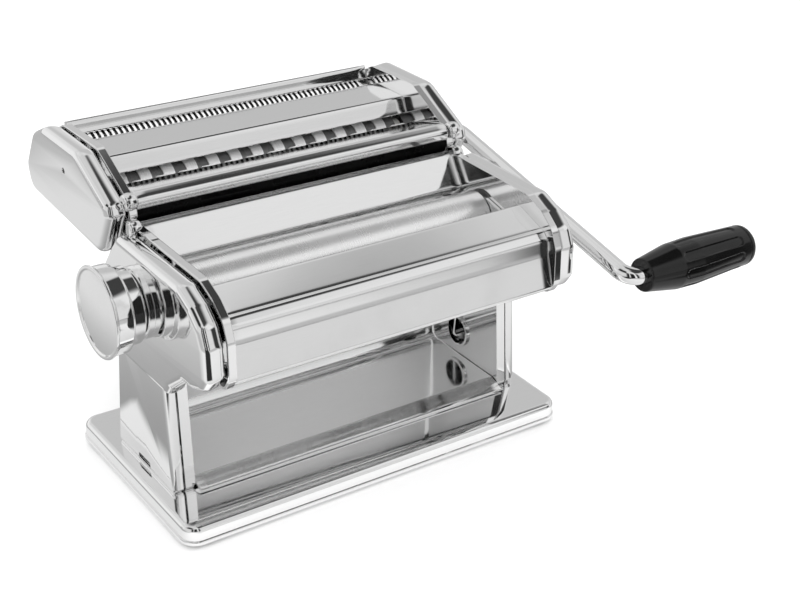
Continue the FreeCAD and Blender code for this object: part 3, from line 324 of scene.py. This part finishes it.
def metal(name, level, rough, tint=(1.0, 1.0, 1.0), grain=0.0, along=(6.0, 220.0, 220.0), waves=0.02,
          edge=0.35, smudge=0.5, metallic=1.0, dull_from=0.0, hollow=0.0, axis=None):
    """Bare polished metal: faint drawn lines, cloudy polish, a slight wave and rounded, worn edges.

    With dull_from, its front is dull above that height. With hollow, painted shade darkens it where the
    surface is enclosed within that distance. With axis, painted shade darkens it in the recesses nearest
    to that axis along X.
    """
    material = bpy.data.materials.new(name)
    t = Tree(material)
    spot = t.add("TexCoord").outputs["Object"]
    stretched = t.add("Mapping", {"Vector": spot, "Scale": along})
    lines = t.noise(stretched, 14.0, 3.0, 0.6)
    cloud = t.noise(spot, 38.0, 5.0, 0.6)
    wave = t.noise(spot, 16.0, 1.0, 0.4)
    polish = t.fit(cloud, 0.35, 0.75, rough * (1 - smudge), rough * (1 + smudge))
    drawn = t.fit(lines, 0.3, 0.7, -grain, grain)
    roughness = t.math("ADD", polish, drawn)
    if dull_from:
        height = t.add("SeparateXYZ", {0: spot}).outputs[2]
        facing = t.add("SeparateXYZ", {0: t.add("NewGeometry").outputs["Normal"]}).outputs[1]
        dull = t.math("MULTIPLY", t.soft(height, dull_from * MM, (dull_from + DULL_FADE) * MM),
                      t.soft(facing, 0.2, -0.2))
        roughness = t.mix(dull, roughness, DULL_ROUGH)
        metallic = t.mix(dull, 1.0, DULL_METALLIC)
    tone = t.fit(lines, 0.25, 0.75, 0.0, 1.0)
    colour = t.blend(tone.outputs[0], rgb(level * 0.96, tint), rgb(level, tint))
    # Painted shade: ambient occlusion darkens the colour in enclosed hollows
    if hollow:
        air = t.add("AmbientOcclusion", {"Distance": hollow * MM}, samples=8, only_local=True).outputs["AO"]
        colour = t.blend(t.soft(air, 0.5, 0.8).outputs[0], rgb(HOLLOW_SHADE_TONE), colour)
    # Painted shade: the colour darkens in the recesses nearest the axis
    if axis:
        centred = t.add("VectorMath", {0: spot, 1: (0.0, axis[0] * MM, axis[1] * MM)}, operation="SUBTRACT")
        across = t.add("VectorMath", {0: centred, 1: (0.0, 1.0, 1.0)}, operation="MULTIPLY")
        radius = t.add("VectorMath", {0: across}, operation="LENGTH").outputs["Value"]
        deep, shallow = RECESS_RADII
        colour = t.blend(t.soft(radius, deep * MM, shallow * MM).outputs[0], rgb(RECESS_SHADE_TONE), colour)
    round_edge = t.add("Bevel", {"Radius": edge * MM}, samples=4)
    swell = t.add("Bump", {"Height": wave, "Strength": waves, "Distance": 0.01, "Normal": round_edge})
    ridges = t.add("Bump", {"Height": lines, "Strength": 0.02 + grain, "Distance": 0.05 * MM,
                            "Normal": swell})
    surface = t.add("BsdfPrincipled", {"Base Color": colour, "Metallic": metallic, "Roughness": roughness,
                                       "Normal": ridges})
    t.add("OutputMaterial", {"Surface": surface})
    return material


def plastic(name, colour, rough, grain_scale, grain, specular=0.5):
    """Moulded plastic or rubber: a fine grain, with slow changes of gloss."""
    material = bpy.data.materials.new(name)
    t = Tree(material)
    spot = t.add("TexCoord").outputs["Object"]
    fine = t.noise(spot, grain_scale, 4.0, 0.6)
    cloud = t.noise(spot, 45.0, 4.0, 0.5)
    roughness = t.fit(cloud, 0.3, 0.7, rough * 0.7, rough * 1.4)
    tone = t.fit(cloud, 0.3, 0.7, 0.0, 1.0)
    light = tuple(min(c * 1.5 + 0.002, 1.0) for c in colour) + (1.0,)
    shade = t.blend(tone.outputs[0], colour + (1.0,), light)
    round_edge = t.add("Bevel", {"Radius": 0.3 * MM}, samples=4)
    skin = t.add("Bump", {"Height": fine, "Strength": grain, "Distance": 0.0002, "Normal": round_edge})
    surface = t.add("BsdfPrincipled", {"Base Color": shade, "Roughness": roughness, "Normal": skin,
                                       "Specular IOR Level": specular})
    t.add("OutputMaterial", {"Surface": surface})
    return material


def make_materials():
    """One finish for each of the record's material slots, and those of single pieces."""
    cut = {"grain": 0.04, "along": ROUND_LINES, "waves": 0.0, "edge": 0.1, "metallic": 0.1}
    rear_axis = (WIDE_AXIS[0] + CUTTER_PITCH, WIDE_AXIS[1])
    return {
        "polished_steel": metal("polished_steel", 0.93, 0.05),
        "sheet_steel": metal("sheet_steel", 0.9, 0.09, grain=0.02),
        "roller_alloy": metal("roller_alloy", 0.94, 0.28, grain=0.01, along=ROUND_LINES, waves=0.0,
                              smudge=0.1, metallic=0.8),
        # The cutters get painted shade in their hollows and recesses
        "cutter_alloy": metal("cutter_alloy", 0.95, 0.34, **cut, hollow=7.0),
        "front_wide_alloy": metal("front_wide_alloy", 0.97, 0.34, **cut, axis=WIDE_AXIS),
        "rear_wide_alloy": metal("rear_wide_alloy", 0.97, 0.34, **cut, axis=rear_axis),
        "rolled_rim": metal("rolled_rim", 0.93, 0.05, edge=0.5),
        # Near-black metal; on the sheet below the chute it paints shade
        "blackened": metal("blackened", 0.012, 0.3),
        "slide_steel": metal("slide_steel", 0.96, 0.1, grain=0.02, dull_from=21.0),
        "machined_steel": metal("machined_steel", 0.8, 0.22, grain=0.06),
        "chromed_rod": metal("chromed_rod", 0.94, 0.05),
        "knob_chrome": metal("knob_chrome", 0.94, 0.05, along=(60.0, 60.0, 60.0)),
        "black_plastic": plastic("black_plastic", (0.003, 0.003, 0.003), 0.12, 900.0, 0.04, 0.4),
        "pale_nylon": plastic("pale_nylon", (0.7, 0.7, 0.66), 0.45, 1400.0, 0.1),
        "black_rubber": plastic("black_rubber", (0.02, 0.02, 0.02), 0.7, 1800.0, 0.3),
    }


# Mesh code
class Skin:
    """The points, in millimetres, and faces of one piece."""

    def __init__(self):
        self.points = []
        self.faces = []
        self.count = 0

    def grid(self, rows, loop=False):
        """Quads between neighbours in a grid of points; its rows are closed, and with loop its columns."""
        down, across = rows.shape[:2]
        index = self.count + np.arange(down * across).reshape(down, across)
        upper = index if loop else index[:-1]
        lower = np.roll(index, -1, axis=0) if loop else index[1:]
        quads = np.stack((upper, np.roll(upper, -1, axis=1), np.roll(lower, -1, axis=1), lower), axis=-1)
        self.points.append(rows.reshape(-1, 3))
        self.faces += quads.reshape(-1, 4).tolist()
        self.count += down * across

    def plate(self, outer, holes=()):
        """Triangles that fill a flat ring of points and leave its holes open."""
        rings = [outer, *holes]
        drop = int(np.argmin(np.ptp(outer, axis=0)))
        keep = [axis for axis in range(3) if axis != drop]
        flat = [[Vector((*point[keep], 0.0)) for point in ring] for ring in rings]
        self.faces += [[self.count + corner for corner in face] for face in tessellate_polygon(flat)]
        self.points += rings
        self.count += sum(len(ring) for ring in rings)


def make_piece(name, skin, body, nodes, finish=None, added=False):
    """A closed, smooth-shaded piece that rides on a body and stands for CAD nodes, or is added to them."""
    mesh = bpy.data.meshes.new(name)
    mesh.from_pydata((np.concatenate(skin.points) * MM).tolist(), [], skin.faces)
    work = bmesh.new()
    work.from_mesh(mesh)
    bmesh.ops.remove_doubles(work, verts=work.verts, dist=MERGE)
    bmesh.ops.recalc_face_normals(work, faces=work.faces)
    work.to_mesh(mesh)
    work.free()
    mesh.polygons.foreach_set("use_smooth", np.ones(len(mesh.polygons), dtype=bool))
    mesh.set_sharp_from_angle(angle=math.radians(SHARP))
    mesh.materials.append(finish or FINISH[SLOTS[nodes[0]]])
    item = bpy.data.objects.new(name, mesh)
    bpy.context.scene.collection.objects.link(item)
    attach(item, body)
    if not added:
        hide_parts(*nodes)
    return item


def unit(vectors):
    """Vectors of length 1."""
    return vectors / np.maximum(np.linalg.norm(vectors, axis=-1, keepdims=True), 1e-12)


def rounded(points, radii, steps=8):
    """A closed outline's corners as arcs: each arc is turned evenly between its two tangent points."""
    before, after = np.roll(points, 1, axis=0) - points, np.roll(points, -1, axis=0) - points
    room = 0.49 * np.minimum(np.linalg.norm(before, axis=1), np.linalg.norm(after, axis=1))
    back, on = unit(before), unit(after)
    inside = np.arccos(np.clip((back * on).sum(axis=1), -1.0, 1.0))
    reach = np.minimum(radii / np.tan(inside / 2), room)
    radius = reach * np.tan(inside / 2)
    middle = points + unit(back + on) * (radius / np.sin(inside / 2))[:, None]
    first, last = points + back * reach[:, None] - middle, points + on * reach[:, None] - middle
    turn = np.maximum(math.pi - inside, 1e-6)[:, None, None]
    part = np.linspace(0.0, 1.0, steps + 1)[None, :, None]
    swing = np.sin((1 - part) * turn) * first[:, None] + np.sin(part * turn) * last[:, None]
    return (middle[:, None] + swing / np.sin(turn)).reshape(-1, 2)


def inset(points, radii, depth):
    """An outline moved inwards: each corner slides along its bisector, and its radius follows."""
    area = np.cross(points, np.roll(points, -1, axis=0)).sum()
    on = unit(np.roll(points, -1, axis=0) - points)
    inward = np.stack((-on[:, 1], on[:, 0]), axis=1) * np.sign(area)
    earlier = np.roll(inward, 1, axis=0)
    share = 1.0 + (inward * earlier).sum(axis=1, keepdims=True)
    bulging = np.cross(np.roll(on, 1, axis=0), on) * np.sign(area) > 0
    moved = points + depth * (inward + earlier) / share
    return moved, np.maximum(np.where(bulging, radii - depth, radii + depth), 0.25)


def corner_arrays(route):
    """The points of a route or an outline, and the radii of its corners."""
    points = np.array([spot[:2] for spot in route], float)
    return points, np.array([spot[2] if len(spot) > 2 else TIGHT for spot in route], float)


def open_line(route, steps=8):
    """An open route with rounded bends, its two ends left as they are."""
    points, radii = corner_arrays(route)
    radii[[0, -1]] = TIGHT
    bends = rounded(points, radii, steps).reshape(len(points), -1, 2)
    return np.concatenate((points[:1], bends[1:-1].reshape(-1, 2), points[-1:]))


def resampled(line, along, stops):
    """A line's points at other distances along it."""
    return np.stack([np.interp(stops, along, line[:, axis]) for axis in (0, 1)], axis=1)


def bent_line(route, spacing):
    """An open route with rounded bends, its points no further apart than the spacing."""
    line = open_line(route)
    along = np.concatenate(([0.0], np.cumsum(np.linalg.norm(np.diff(line, axis=0), axis=1))))
    stops = np.unique(np.round(np.concatenate((along, np.arange(0.0, along[-1], spacing))), 3))
    return resampled(line, along, stops), stops


def sheet_skin(route, half, out=1.0, hems=(0.0, 0.0), grooves=()):
    """A bent sheet along X: its middle line is moved both ways along its normal and closed by round tips.

    Half is half its width, and out is the side of the route that faces outwards. A hem doubles the sheet
    inwards near an end of the route. A groove is a dip given by its distance along the route, its depth
    and its width.
    """
    line, along = bent_line(route, 1.0 if grooves else 2.0)
    if grooves:
        fine = np.concatenate([place + np.linspace(-2.0, 2.0, 21) * wide for place, _, wide in grooves])
        stops = np.unique(np.round(np.concatenate((along, fine)), 3))
        line, along = resampled(line, along, stops), stops
    tangent = unit(np.gradient(line, along, axis=0))
    normal = np.stack((tangent[:, 1], -tangent[:, 0]), axis=1) * out
    for place, deep, wide in grooves:
        line = line - normal * (deep * np.exp(-((along - place) / wide) ** 2))[:, None]
    left = along[-1] - along
    fold = np.zeros_like(along)
    for distance, hem in ((along, hems[0]), (left, hems[1])):
        if hem:
            fold = np.maximum(fold, SHEET * np.clip((hem + HEM_END - distance) / HEM_END, 0.0, 1.0))
    outer, inner = np.full_like(along, SHEET / 2), -(SHEET / 2 + fold)
    arc = np.linspace(math.pi / 2, -math.pi / 2, 7)[1:-1]

    def tip(end, way):
        """Round end of the section."""
        middle, radius = (outer[end] + inner[end]) / 2, (outer[end] - inner[end]) / 2
        turn = arc if way > 0 else arc[::-1]
        across = middle + radius * np.sin(turn)
        return (line[end] + tangent[end] * way * (radius * np.cos(turn))[:, None], across,
                np.repeat(normal[end][None], len(arc), axis=0))

    far, near = tip(-1, 1.0), tip(0, -1.0)
    middle = np.concatenate((line, far[0], line[::-1], near[0]))
    across = np.concatenate((outer, far[1], inner[::-1], near[1]))
    facing = np.concatenate((normal, far[2], normal[::-1], near[2]))
    quarter = np.linspace(0.0, math.pi / 2, 4)
    edge, rise = np.sin(quarter), SHEET / 2 * (1 - np.cos(quarter))
    stations = np.concatenate((-half + rise, np.linspace(-half + 6, half - 6, 9), (half - rise)[::-1]))
    shrink = np.concatenate((edge, np.ones(9), edge[::-1]))
    rows = middle[None] + facing[None] * (across[None] * shrink[:, None])[..., None]
    places = np.broadcast_to(stations[:, None, None], rows.shape[:2] + (1,))
    skin = Skin()
    skin.grid(np.concatenate((places, rows), axis=2))
    return skin


def full_turn(count):
    """Angles spread evenly round a circle."""
    return np.linspace(0.0, 2 * math.pi, count + 1)[:-1]


def round_hole(y, z, radius):
    """A round hole, as a function that gives its ring widened by a step."""
    angle = full_turn(48)

    def ring(step):
        """Ring at one widening."""
        wide = radius + step
        return np.stack((y + wide * np.cos(angle), z + wide * np.sin(angle)), axis=1)
    return ring


def slot_hole(low, high, radius):
    """A rounded rectangular hole, as a function that gives its ring widened by a step."""
    corners = np.array([low, (high[0], low[1]), high, (low[0], high[1])], float)

    def ring(step):
        """Ring at one widening."""
        return rounded(*inset(corners, np.full(4, radius), -step))
    return ring


def at_level(ring, axis, level):
    """A flat ring in space, across one axis."""
    return np.insert(ring, axis, level, axis=1)


def shell_skin(outline, sign, low, high, wall, edge, holes=(), swell=0.0):
    """A tray pressed from sheet, across X: rings of its outline, inset as they go round its rounded edge.

    Its lip is at low and its face at high, on the side of the sign. The rings run from the inside of its
    face, out along the inside of its rim, round the rim's lip and back along the outside to the face. The
    rim bulges: it falls back by the swell times the square of the way to its lip.
    """
    corners, radii = corner_arrays(outline)
    arc = np.linspace(0.0, math.pi / 2, 8)
    lip = np.linspace(0.0, math.pi, 7)
    inner_round = edge - wall
    inside = [(wall + inner_round * (1 - math.sin(a)), high - wall - inner_round * (1 - math.cos(a)))
              for a in arc]
    half = wall / 2
    rim = [(swell + half + half * math.cos(a), low + half - half * math.sin(a)) for a in lip]
    way = np.linspace(1.0, 0.0, 7)[1:-1] if swell else []
    rim += [(swell * u * u, high - edge + (low + half - high + edge) * u) for u in way]
    outside = [(edge * (1 - math.cos(a)), high - edge + edge * math.sin(a)) for a in arc]
    rings = []
    for depth, level in (*inside, *rim, *outside):
        ring = rounded(*inset(corners, radii, depth))
        rings.append(at_level(ring, 0, sign * level))
    skin = Skin()
    skin.grid(np.array(rings))
    brim = 0.4
    flare = [(0.0, high - wall), (0.0, high - brim)]
    flare += [(brim * (1 - math.cos(a)), high - brim + brim * math.sin(a)) for a in arc]
    for hole in holes:
        skin.grid(np.array([at_level(hole(step), 0, sign * level) for step, level in flare]))
    skin.plate(rings[0], [at_level(hole(0.0), 0, sign * (high - wall)) for hole in holes])
    skin.plate(rings[-1], [at_level(hole(brim), 0, sign * high) for hole in holes])
    return skin


def turned_skin(profile, y, z, turns=128, closed=False, sway=None):
    """A form turned about a line along X: each point of its profile, a place and a radius, becomes a ring.

    Sway, given places, angles and radii, returns the radii as they swing round the axis.
    """
    line = rounded(*corner_arrays(profile), 6) if closed else open_line(profile, 6)
    angle = full_turn(turns)
    places, reach = np.repeat(line[:, :1], turns, axis=1), np.repeat(line[:, 1:], turns, axis=1)
    if sway:
        reach = sway(places, np.broadcast_to(angle, places.shape), reach)
    skin = Skin()
    skin.grid(np.stack((places, y + reach * np.cos(angle), z + reach * np.sin(angle)), axis=2), loop=closed)
    return skin


def cut_away(item, low, high):
    """Cut a box out of a finished piece."""
    block = bpy.data.meshes.new("block")
    work = bmesh.new()
    bmesh.ops.create_cube(work, size=1.0, matrix=Matrix.Translation((Vector(low) + Vector(high)) / 2 * MM)
                          @ Matrix.Diagonal((*(Vector(high) - Vector(low)) * MM, 1.0)))
    work.to_mesh(block)
    work.free()
    cutter = bpy.data.objects.new("block", block)
    bpy.context.scene.collection.objects.link(cutter)
    modifier = item.modifiers.new("cut", "BOOLEAN")
    modifier.operation = "DIFFERENCE"
    modifier.solver = "EXACT"
    modifier.object = cutter
    bpy.context.view_layer.update()
    shape = item.evaluated_get(bpy.context.evaluated_depsgraph_get())
    mesh = bpy.data.meshes.new_from_object(shape)
    item.modifiers.clear()
    item.data = mesh
    mesh.set_sharp_from_angle(angle=math.radians(SHARP))
    bpy.data.objects.remove(cutter)


# Finishes of nodes that differ from their slot's
FINER = {"fine_rear_cutter": "cutter_alloy", "fine_front_cutter": "cutter_alloy",
         "wide_front_cutter": "front_wide_alloy", "wide_rear_cutter": "rear_wide_alloy",
         "side_plate": "rolled_rim", "cutter_plate": "rolled_rim"}


# Outlines and routes, in millimetres: across, up and the corner's radius
COVER = [
    (-44.0, BODY_TOP, 10.0), (-56.3, BODY_TOP - 5.1, 9.0), (-65.2, BODY_TOP - 12.0, 9.0),
    (-69.5, BODY_TOP - 21.5, 9.0), (-70.5, BODY_TOP - 37.5, 5.0), (-66.0, BODY_TOP - 44.5, 5.0),
    (-55.5, BODY_TOP - 48.0, 3.0), (-47.0, BODY_TOP - 48.2, 3.0), (-33.0, SKIRT_LOW + 5.5, 3.0),
    (-29.5, SKIRT_LOW, 3.0), (30.0, SKIRT_LOW, 3.0), (42.0, SKIRT_LOW + 17.0, 5.0),
    (41.5, SKIRT_LOW + 34.0, 5.0), (24.4, BODY_TOP - 7.3, 5.0), (18.0, BODY_TOP, 5.0),
]
CAP = [
    (25.0, CAP_TOP - 22.0, 4.0), (36.0, CAP_TOP - 45.5, 7.0), (120.5, CAP_TOP - 41.0, 9.0),
    (125.5, CAP_TOP - 27.6, 9.0), (114.4, CAP_TOP - 7.4, 7.0), (101.0, CAP_TOP - 0.6, 7.0),
    (60.0, CAP_TOP, 14.0), (27.0, CAP_TOP - 16.0, 6.0),
]
UPRIGHT = [
    (-30.7, BASE_TOP, 2.6), (31.0, BASE_TOP, 2.6), (25.7, 79.2, 2.6), (12.0, 79.2, 2.6), (4.0, 87.5, 2.6),
    (-22.7, 87.5, 2.6),
]
SLIDE = [(-35.2, BASE_TOP + 1.2), (-31.5, BASE_TOP + 2.4, 2.5), (-26.0, BASE_TOP + 4.3, 3.5),
         (31.2, BASE_TOP + 4.3, 5.5), (30.2, SKIRT_LOW + 7.5)]
TRAY = [(20.0, BODY_TOP + 0.2), (9.6, BODY_TOP - 14.7, 2.0), (13.4, BODY_TOP - 21.6)]
FRONT = [(-36.8, BODY_TOP - 10.4), (-39.8, BODY_TOP - 7.0, 1.3), (-60.6, BODY_TOP - 13.9, 2.5),
         (-63.6, BODY_TOP - 17.0, 4.0), (-64.6, BODY_TOP - 24.5, 20.0), (-70.2, BODY_TOP - 42.5, 1.6),
         (-65.0, BODY_TOP - 43.4)]
REAR = [(20.5, BODY_TOP - 16.7), (30.0, BODY_TOP - 20.8, 6.5), (38.9, BODY_TOP - 29.5, 6.5),
        (40.0, BODY_TOP - 48.0, 6.5), (33.2, BODY_TOP - 58.0)]
CHUTE = [(27.0, CAP_TOP - 20.4), (24.1, CAP_TOP - 19.6, 1.2), (23.4, CAP_TOP - 14.6, 3.0),
         (28.4, CAP_TOP - 12.3, 3.0), (52.0, CAP_TOP - 18.8)]
# A near-black sheet below the chute, which paints the shade in the gap there
SHADE = [(25.6, CAP_TOP - 26.6), (25.4, CAP_TOP - 23.0, 1.0), (25.6, CAP_TOP - 19.0)]
ROOF = [(63.8, CAP_TOP - 17.0), (67.6, CAP_TOP - 9.0, 1.6), (92.0, CAP_TOP - 9.0)]
WALL = [(106.5, CAP_TOP - 3.0), (103.9, CAP_TOP - 9.6, 0.8), (118.4, CAP_TOP - 11.9, 4.5),
        (122.3, CAP_TOP - 27.5, 6.5), (118.6, CAP_TOP - 39.0)]
# Lugs at the hinge line: name, across, up, radius, body and node
LUGS = [("cap", 25.5, CAP_TOP - 15.5, 4.6, "cutter_unit", "cutter_cap"),
        ("body", 21.5, BODY_TOP - 0.6, 5.0, "machine", "side_cover")]


# Pieces
def make_sheet(name, body, node, route, finish=None, wider=0.0, **shape):
    """A bent sheet that reaches from one side plate to the other, or a little wider."""
    make_piece(name, sheet_skin(route, PLATE_IN + wider, **shape), body, [node], finish)


def body_sheets():
    """Slide, tray, front and rear cover, with folded edges and the front cover's crease."""
    make_sheet("slide_sheet", "machine", "dough_slide", SLIDE, FINISH["slide_steel"], wider=1.2, out=-1.0)
    make_sheet("tray_sheet", "machine", "feed_tray", TRAY, hems=(3.0, 0.0))
    crease = math.dist(FRONT[0][:2], FRONT[1][:2]) + math.dist(FRONT[1][:2], FRONT[2][:2])
    make_sheet("front_sheet", "machine", "front_cover", FRONT, grooves=[(crease - 2.4, 0.16, 0.8)])
    make_sheet("rear_sheet", "machine", "rear_cover", REAR, out=-1.0, hems=(2.5, 2.5))


def cutter_sheets():
    """Chute with a near-black sheet below it that paints shade, roof and rear wall of the cutter unit."""
    make_sheet("chute_sheet", "cutter_unit", "cutter_front_chute", CHUTE, out=-1.0, hems=(0.0, 2.5))
    # A near-black sheet that paints the shade in the gap below the chute
    make_sheet("chute_shade_sheet", "cutter_unit", "cutter_front_chute", SHADE, FINISH["blackened"])
    make_sheet("roof_sheet", "cutter_unit", "cutter_roof", ROOF, out=-1.0, hems=(0.0, 2.0))
    make_sheet("wall_sheet", "cutter_unit", "cutter_rear_wall", WALL, out=-1.0, hems=(3.0, 2.0))


def outer_shell(outline, sign, holes):
    """The skin of a cover or a cap, a little off its plate and with a bulging rim."""
    return shell_skin(outline, sign, COVER_IN + SEAM, COVER_OUT, SHELL_WALL, SHELL_EDGE, holes, SHELL_SWELL)


def side_covers():
    """Pressed covers with softly rounded edges, open below where the uprights pass."""
    for side, sign in SIDES:
        skin = outer_shell(COVER, sign, [round_hole(*REAR_AXIS, DRIVE_HOLE)] if sign > 0 else [])
        cover = make_piece(f"{side}_cover_shell", skin, "machine", [f"{side}_side_cover"])
        low, high = sorted((sign * (COVER_IN - 1.0), sign * (COVER_OUT - SHELL_WALL)))
        cut_away(cover, (low, UPRIGHT[0][0] + 5.0, SKIRT_LOW - 1.0),
                 (high, UPRIGHT[1][0] - 3.5, SKIRT_LOW + 2.0))


def cutter_caps():
    """Pressed caps of the cutter unit, the right one with holes for the crank."""
    for side, sign in SIDES:
        if sign > 0:
            holes = [round_hole(*WIDE_AXIS, DRIVE_HOLE), round_hole(*FINE_AXIS, DRIVE_HOLE)]
        else:
            holes = [round_hole(*CAP_HOLE)]
        skin = outer_shell(CAP, sign, holes)
        make_piece(f"{side}_cap_shell", skin, "cutter_unit", [f"{side}_cutter_cap"])


def hinge_lugs():
    """Rounded knuckles where the cutter unit rests on the body."""
    for side, sign in SIDES:
        inner, outer = sign * (PLATE_IN + 0.6), sign * (COVER_IN + 2.6)
        for name, y, z, radius, body, node in LUGS:
            profile = [(inner, 0.0), (inner, radius - 0.6, 1.0), ((inner + outer) / 2, radius, 4.0),
                       (outer, radius - 0.6, 1.6), (outer, 0.0)]
            make_piece(f"{side}_{name}_lug", turned_skin(profile, y, z, 48), body, [f"{side}_{node}"],
                       added=True)


def outer_uprights():
    """Outer channels of the uprights, the left one with a slot at its foot."""
    for side, sign in SIDES:
        holes = [slot_hole((-5.0, 14.6), (7.5, 17.4), 0.9)] if sign < 0 else []
        skin = shell_skin(UPRIGHT, sign, UPRIGHT_IN, UPRIGHT_OUT, CHANNEL_WALL, CHANNEL_EDGE, holes)
        make_piece(f"{side}_upright_shell", skin, "machine", [f"{side}_upright_outer"])


def base_pan():
    """Pressed base: a beaded lip, a short wall and a softly rounded top."""
    half_x, half_y = BASE_HALF
    corner, step, wall, bend = 9.2, 0.8, 1.2, 3.0
    inner_bend = bend - wall
    outline = [(-half_x, -half_y, corner), (half_x, -half_y, corner), (half_x, half_y, corner),
               (-half_x, half_y, corner)]
    arc = np.linspace(0.0, math.pi / 2, 8)
    under = [(step + bend - inner_bend * math.sin(a), BASE_TOP - bend + inner_bend * math.cos(a))
             for a in arc]
    lip = [(step + wall, BASE_LOW + 0.9), (step + wall - 0.3, BASE_LOW + 0.1), (step, BASE_LOW),
           (0.2, BASE_LOW + 0.25)]
    bead = [(0.0, BASE_LOW + 0.9), (0.0, BASE_LOW + 1.7), (0.25, BASE_LOW + 2.3), (step, BASE_LOW + 2.6),
            (step, BASE_LOW + 3.2)]
    top = [(step + bend * (1 - math.cos(a)), BASE_TOP - bend + bend * math.sin(a)) for a in arc]
    points, radii = corner_arrays(outline)
    rings = [at_level(rounded(*inset(points, radii, depth), 12), 2, level)
             for depth, level in (*under, *lip, *bead, *top)]
    skin = Skin()
    skin.grid(np.array(rings))
    skin.plate(rings[0])
    skin.plate(rings[-1])
    make_piece("base_pan", skin, "machine", ["base_plate"])


def knob():
    """The chromed knob: neck, step, band and a domed face with a lip."""
    x0, x1 = KNOB_IN, KNOB_OUT + 2.4
    bore, neck, shoulder, band, lip = 6.0, 15.8, 19.0, 21.7, 22.75
    barrel = [
        (x0, bore, 0.2), (x0, neck, 0.6), (x0 - 1.7, neck, 0.3), (x0 - 1.7, shoulder, 0.8),
        (x0 - 7.7, shoulder, 0.6), (x0 - 8.9, band, 1.2), (x1, band, 0.5), (x1, 18.3, 0.3),
        (x0 - 6.0, 16.8, 0.4), (x0 - 6.0, bore, 0.2),
    ]
    make_piece("knob_barrel", turned_skin(barrel, KNOB_Y, KNOB_Z, closed=True), "knob", ["thickness_knob"])
    face = [(x1, 0.0), (x1, lip - 0.3, 0.3), (x1 - 0.6, lip, 0.5), (KNOB_OUT + 0.9, lip, 0.6),
            (KNOB_OUT + 0.8, lip - 1.5, 0.5), (KNOB_OUT + 1.6, lip - 2.3, 0.4)]
    face += [(KNOB_OUT + 1.5 * u * u, (lip - 2.6) * u, 2.0) for u in np.linspace(1.0, 0.0, 10)]
    make_piece("knob_disc", turned_skin(face, KNOB_Y, KNOB_Z), "knob", ["knob_face"])


def grip():
    """The black grip: a cone, a fluted body and a domed end cap."""
    x0, x1 = GRIP_START, GRIP_END
    bore = 4.75
    profile = [(x0, bore, 0.3), (x0, 8.9, 0.9), (x0 + 3.2, 9.4, 1.0), (x0 + 20.0, 12.3, 8.0),
               (x0 + 34.0, 12.75, 20.0), (x1 - 16.0, 11.9, 20.0), (x1, 11.15, 0.5), (x1, bore, 0.3)]
    line, _ = bent_line(profile, 0.7)
    flutes, half_wide, deep, flank = 8, 2.9, 0.75, 0.7
    start, end = x0 + 21.0, x1 - 5.0

    def fluted(places, angles, reach):
        """Radii with long grooves whose ends are round: the depth times a smooth step across each flank."""
        pitch = 2 * math.pi / flutes
        off = (angles + pitch / 2) % pitch - pitch / 2
        past = np.maximum(np.abs(places - (start + end) / 2) - (end - start) / 2 + half_wide, 0.0)
        distance = np.hypot(past, off * reach)
        wall = np.clip((half_wide - distance) / flank, 0.0, 1.0)
        return reach - np.where(reach > 8.0, deep * wall * wall * (3 - 2 * wall), 0.0)

    skin = turned_skin(line, GRIP_Y, GRIP_Z, 320, sway=fluted)
    make_piece("grip_body", skin, "grip", ["crank_grip"])
    cap = [(x1 + 0.2, 0.0), (x1 + 0.2, 10.9, 0.2), (x1 + 0.6, 11.2, 0.4), (x1 + 2.6, 10.9, 2.0),
           (CAP_END - 0.6, 8.0, 3.0), (CAP_END, 0.0)]
    make_piece("grip_cap", turned_skin(cap, GRIP_Y, GRIP_Z), "grip", ["grip_end_cap"])


def feet():
    """Four rubber feet with a chamfered tread."""
    low, high = span("rubber_feet")
    skin = Skin()
    angle = full_turn(64)
    radius = 9.0
    section = np.array([(0.0, 0.6), (5.0, 0.6), (5.4, 0.0), (7.6, 0.0), (8.6, 0.9), (radius, 1.6),
                        (radius, high[2] - 0.3), (radius - 0.3, high[2]), (0.0, high[2])])
    for x in (low[0] + radius, high[0] - radius):
        for y in (low[1] + radius, high[1] - radius):
            reach, level = section[:, :1], np.repeat(section[:, 1:], len(angle), axis=1)
            skin.grid(np.stack((x + reach * np.cos(angle), y + reach * np.sin(angle), level), axis=2))
    make_piece("tread_feet", skin, "machine", ["rubber_feet"])


bpy.context.scene.view_settings.view_transform = "Standard"
make_camera()
make_room()
make_floor()
for lamp in LAMPS:
    make_lamp(*lamp)
FINISH = make_materials()
for node_name, slot in SLOTS.items():
    kind = next((finish for part, finish in FINER.items() if part in node_name), slot)
    for holder in NODES[node_name].material_slots:
        holder.material = FINISH[kind]
body_sheets()
cutter_sheets()
side_covers()
cutter_caps()
hinge_lugs()
outer_uprights()
base_pan()
knob()
grip()
feet()
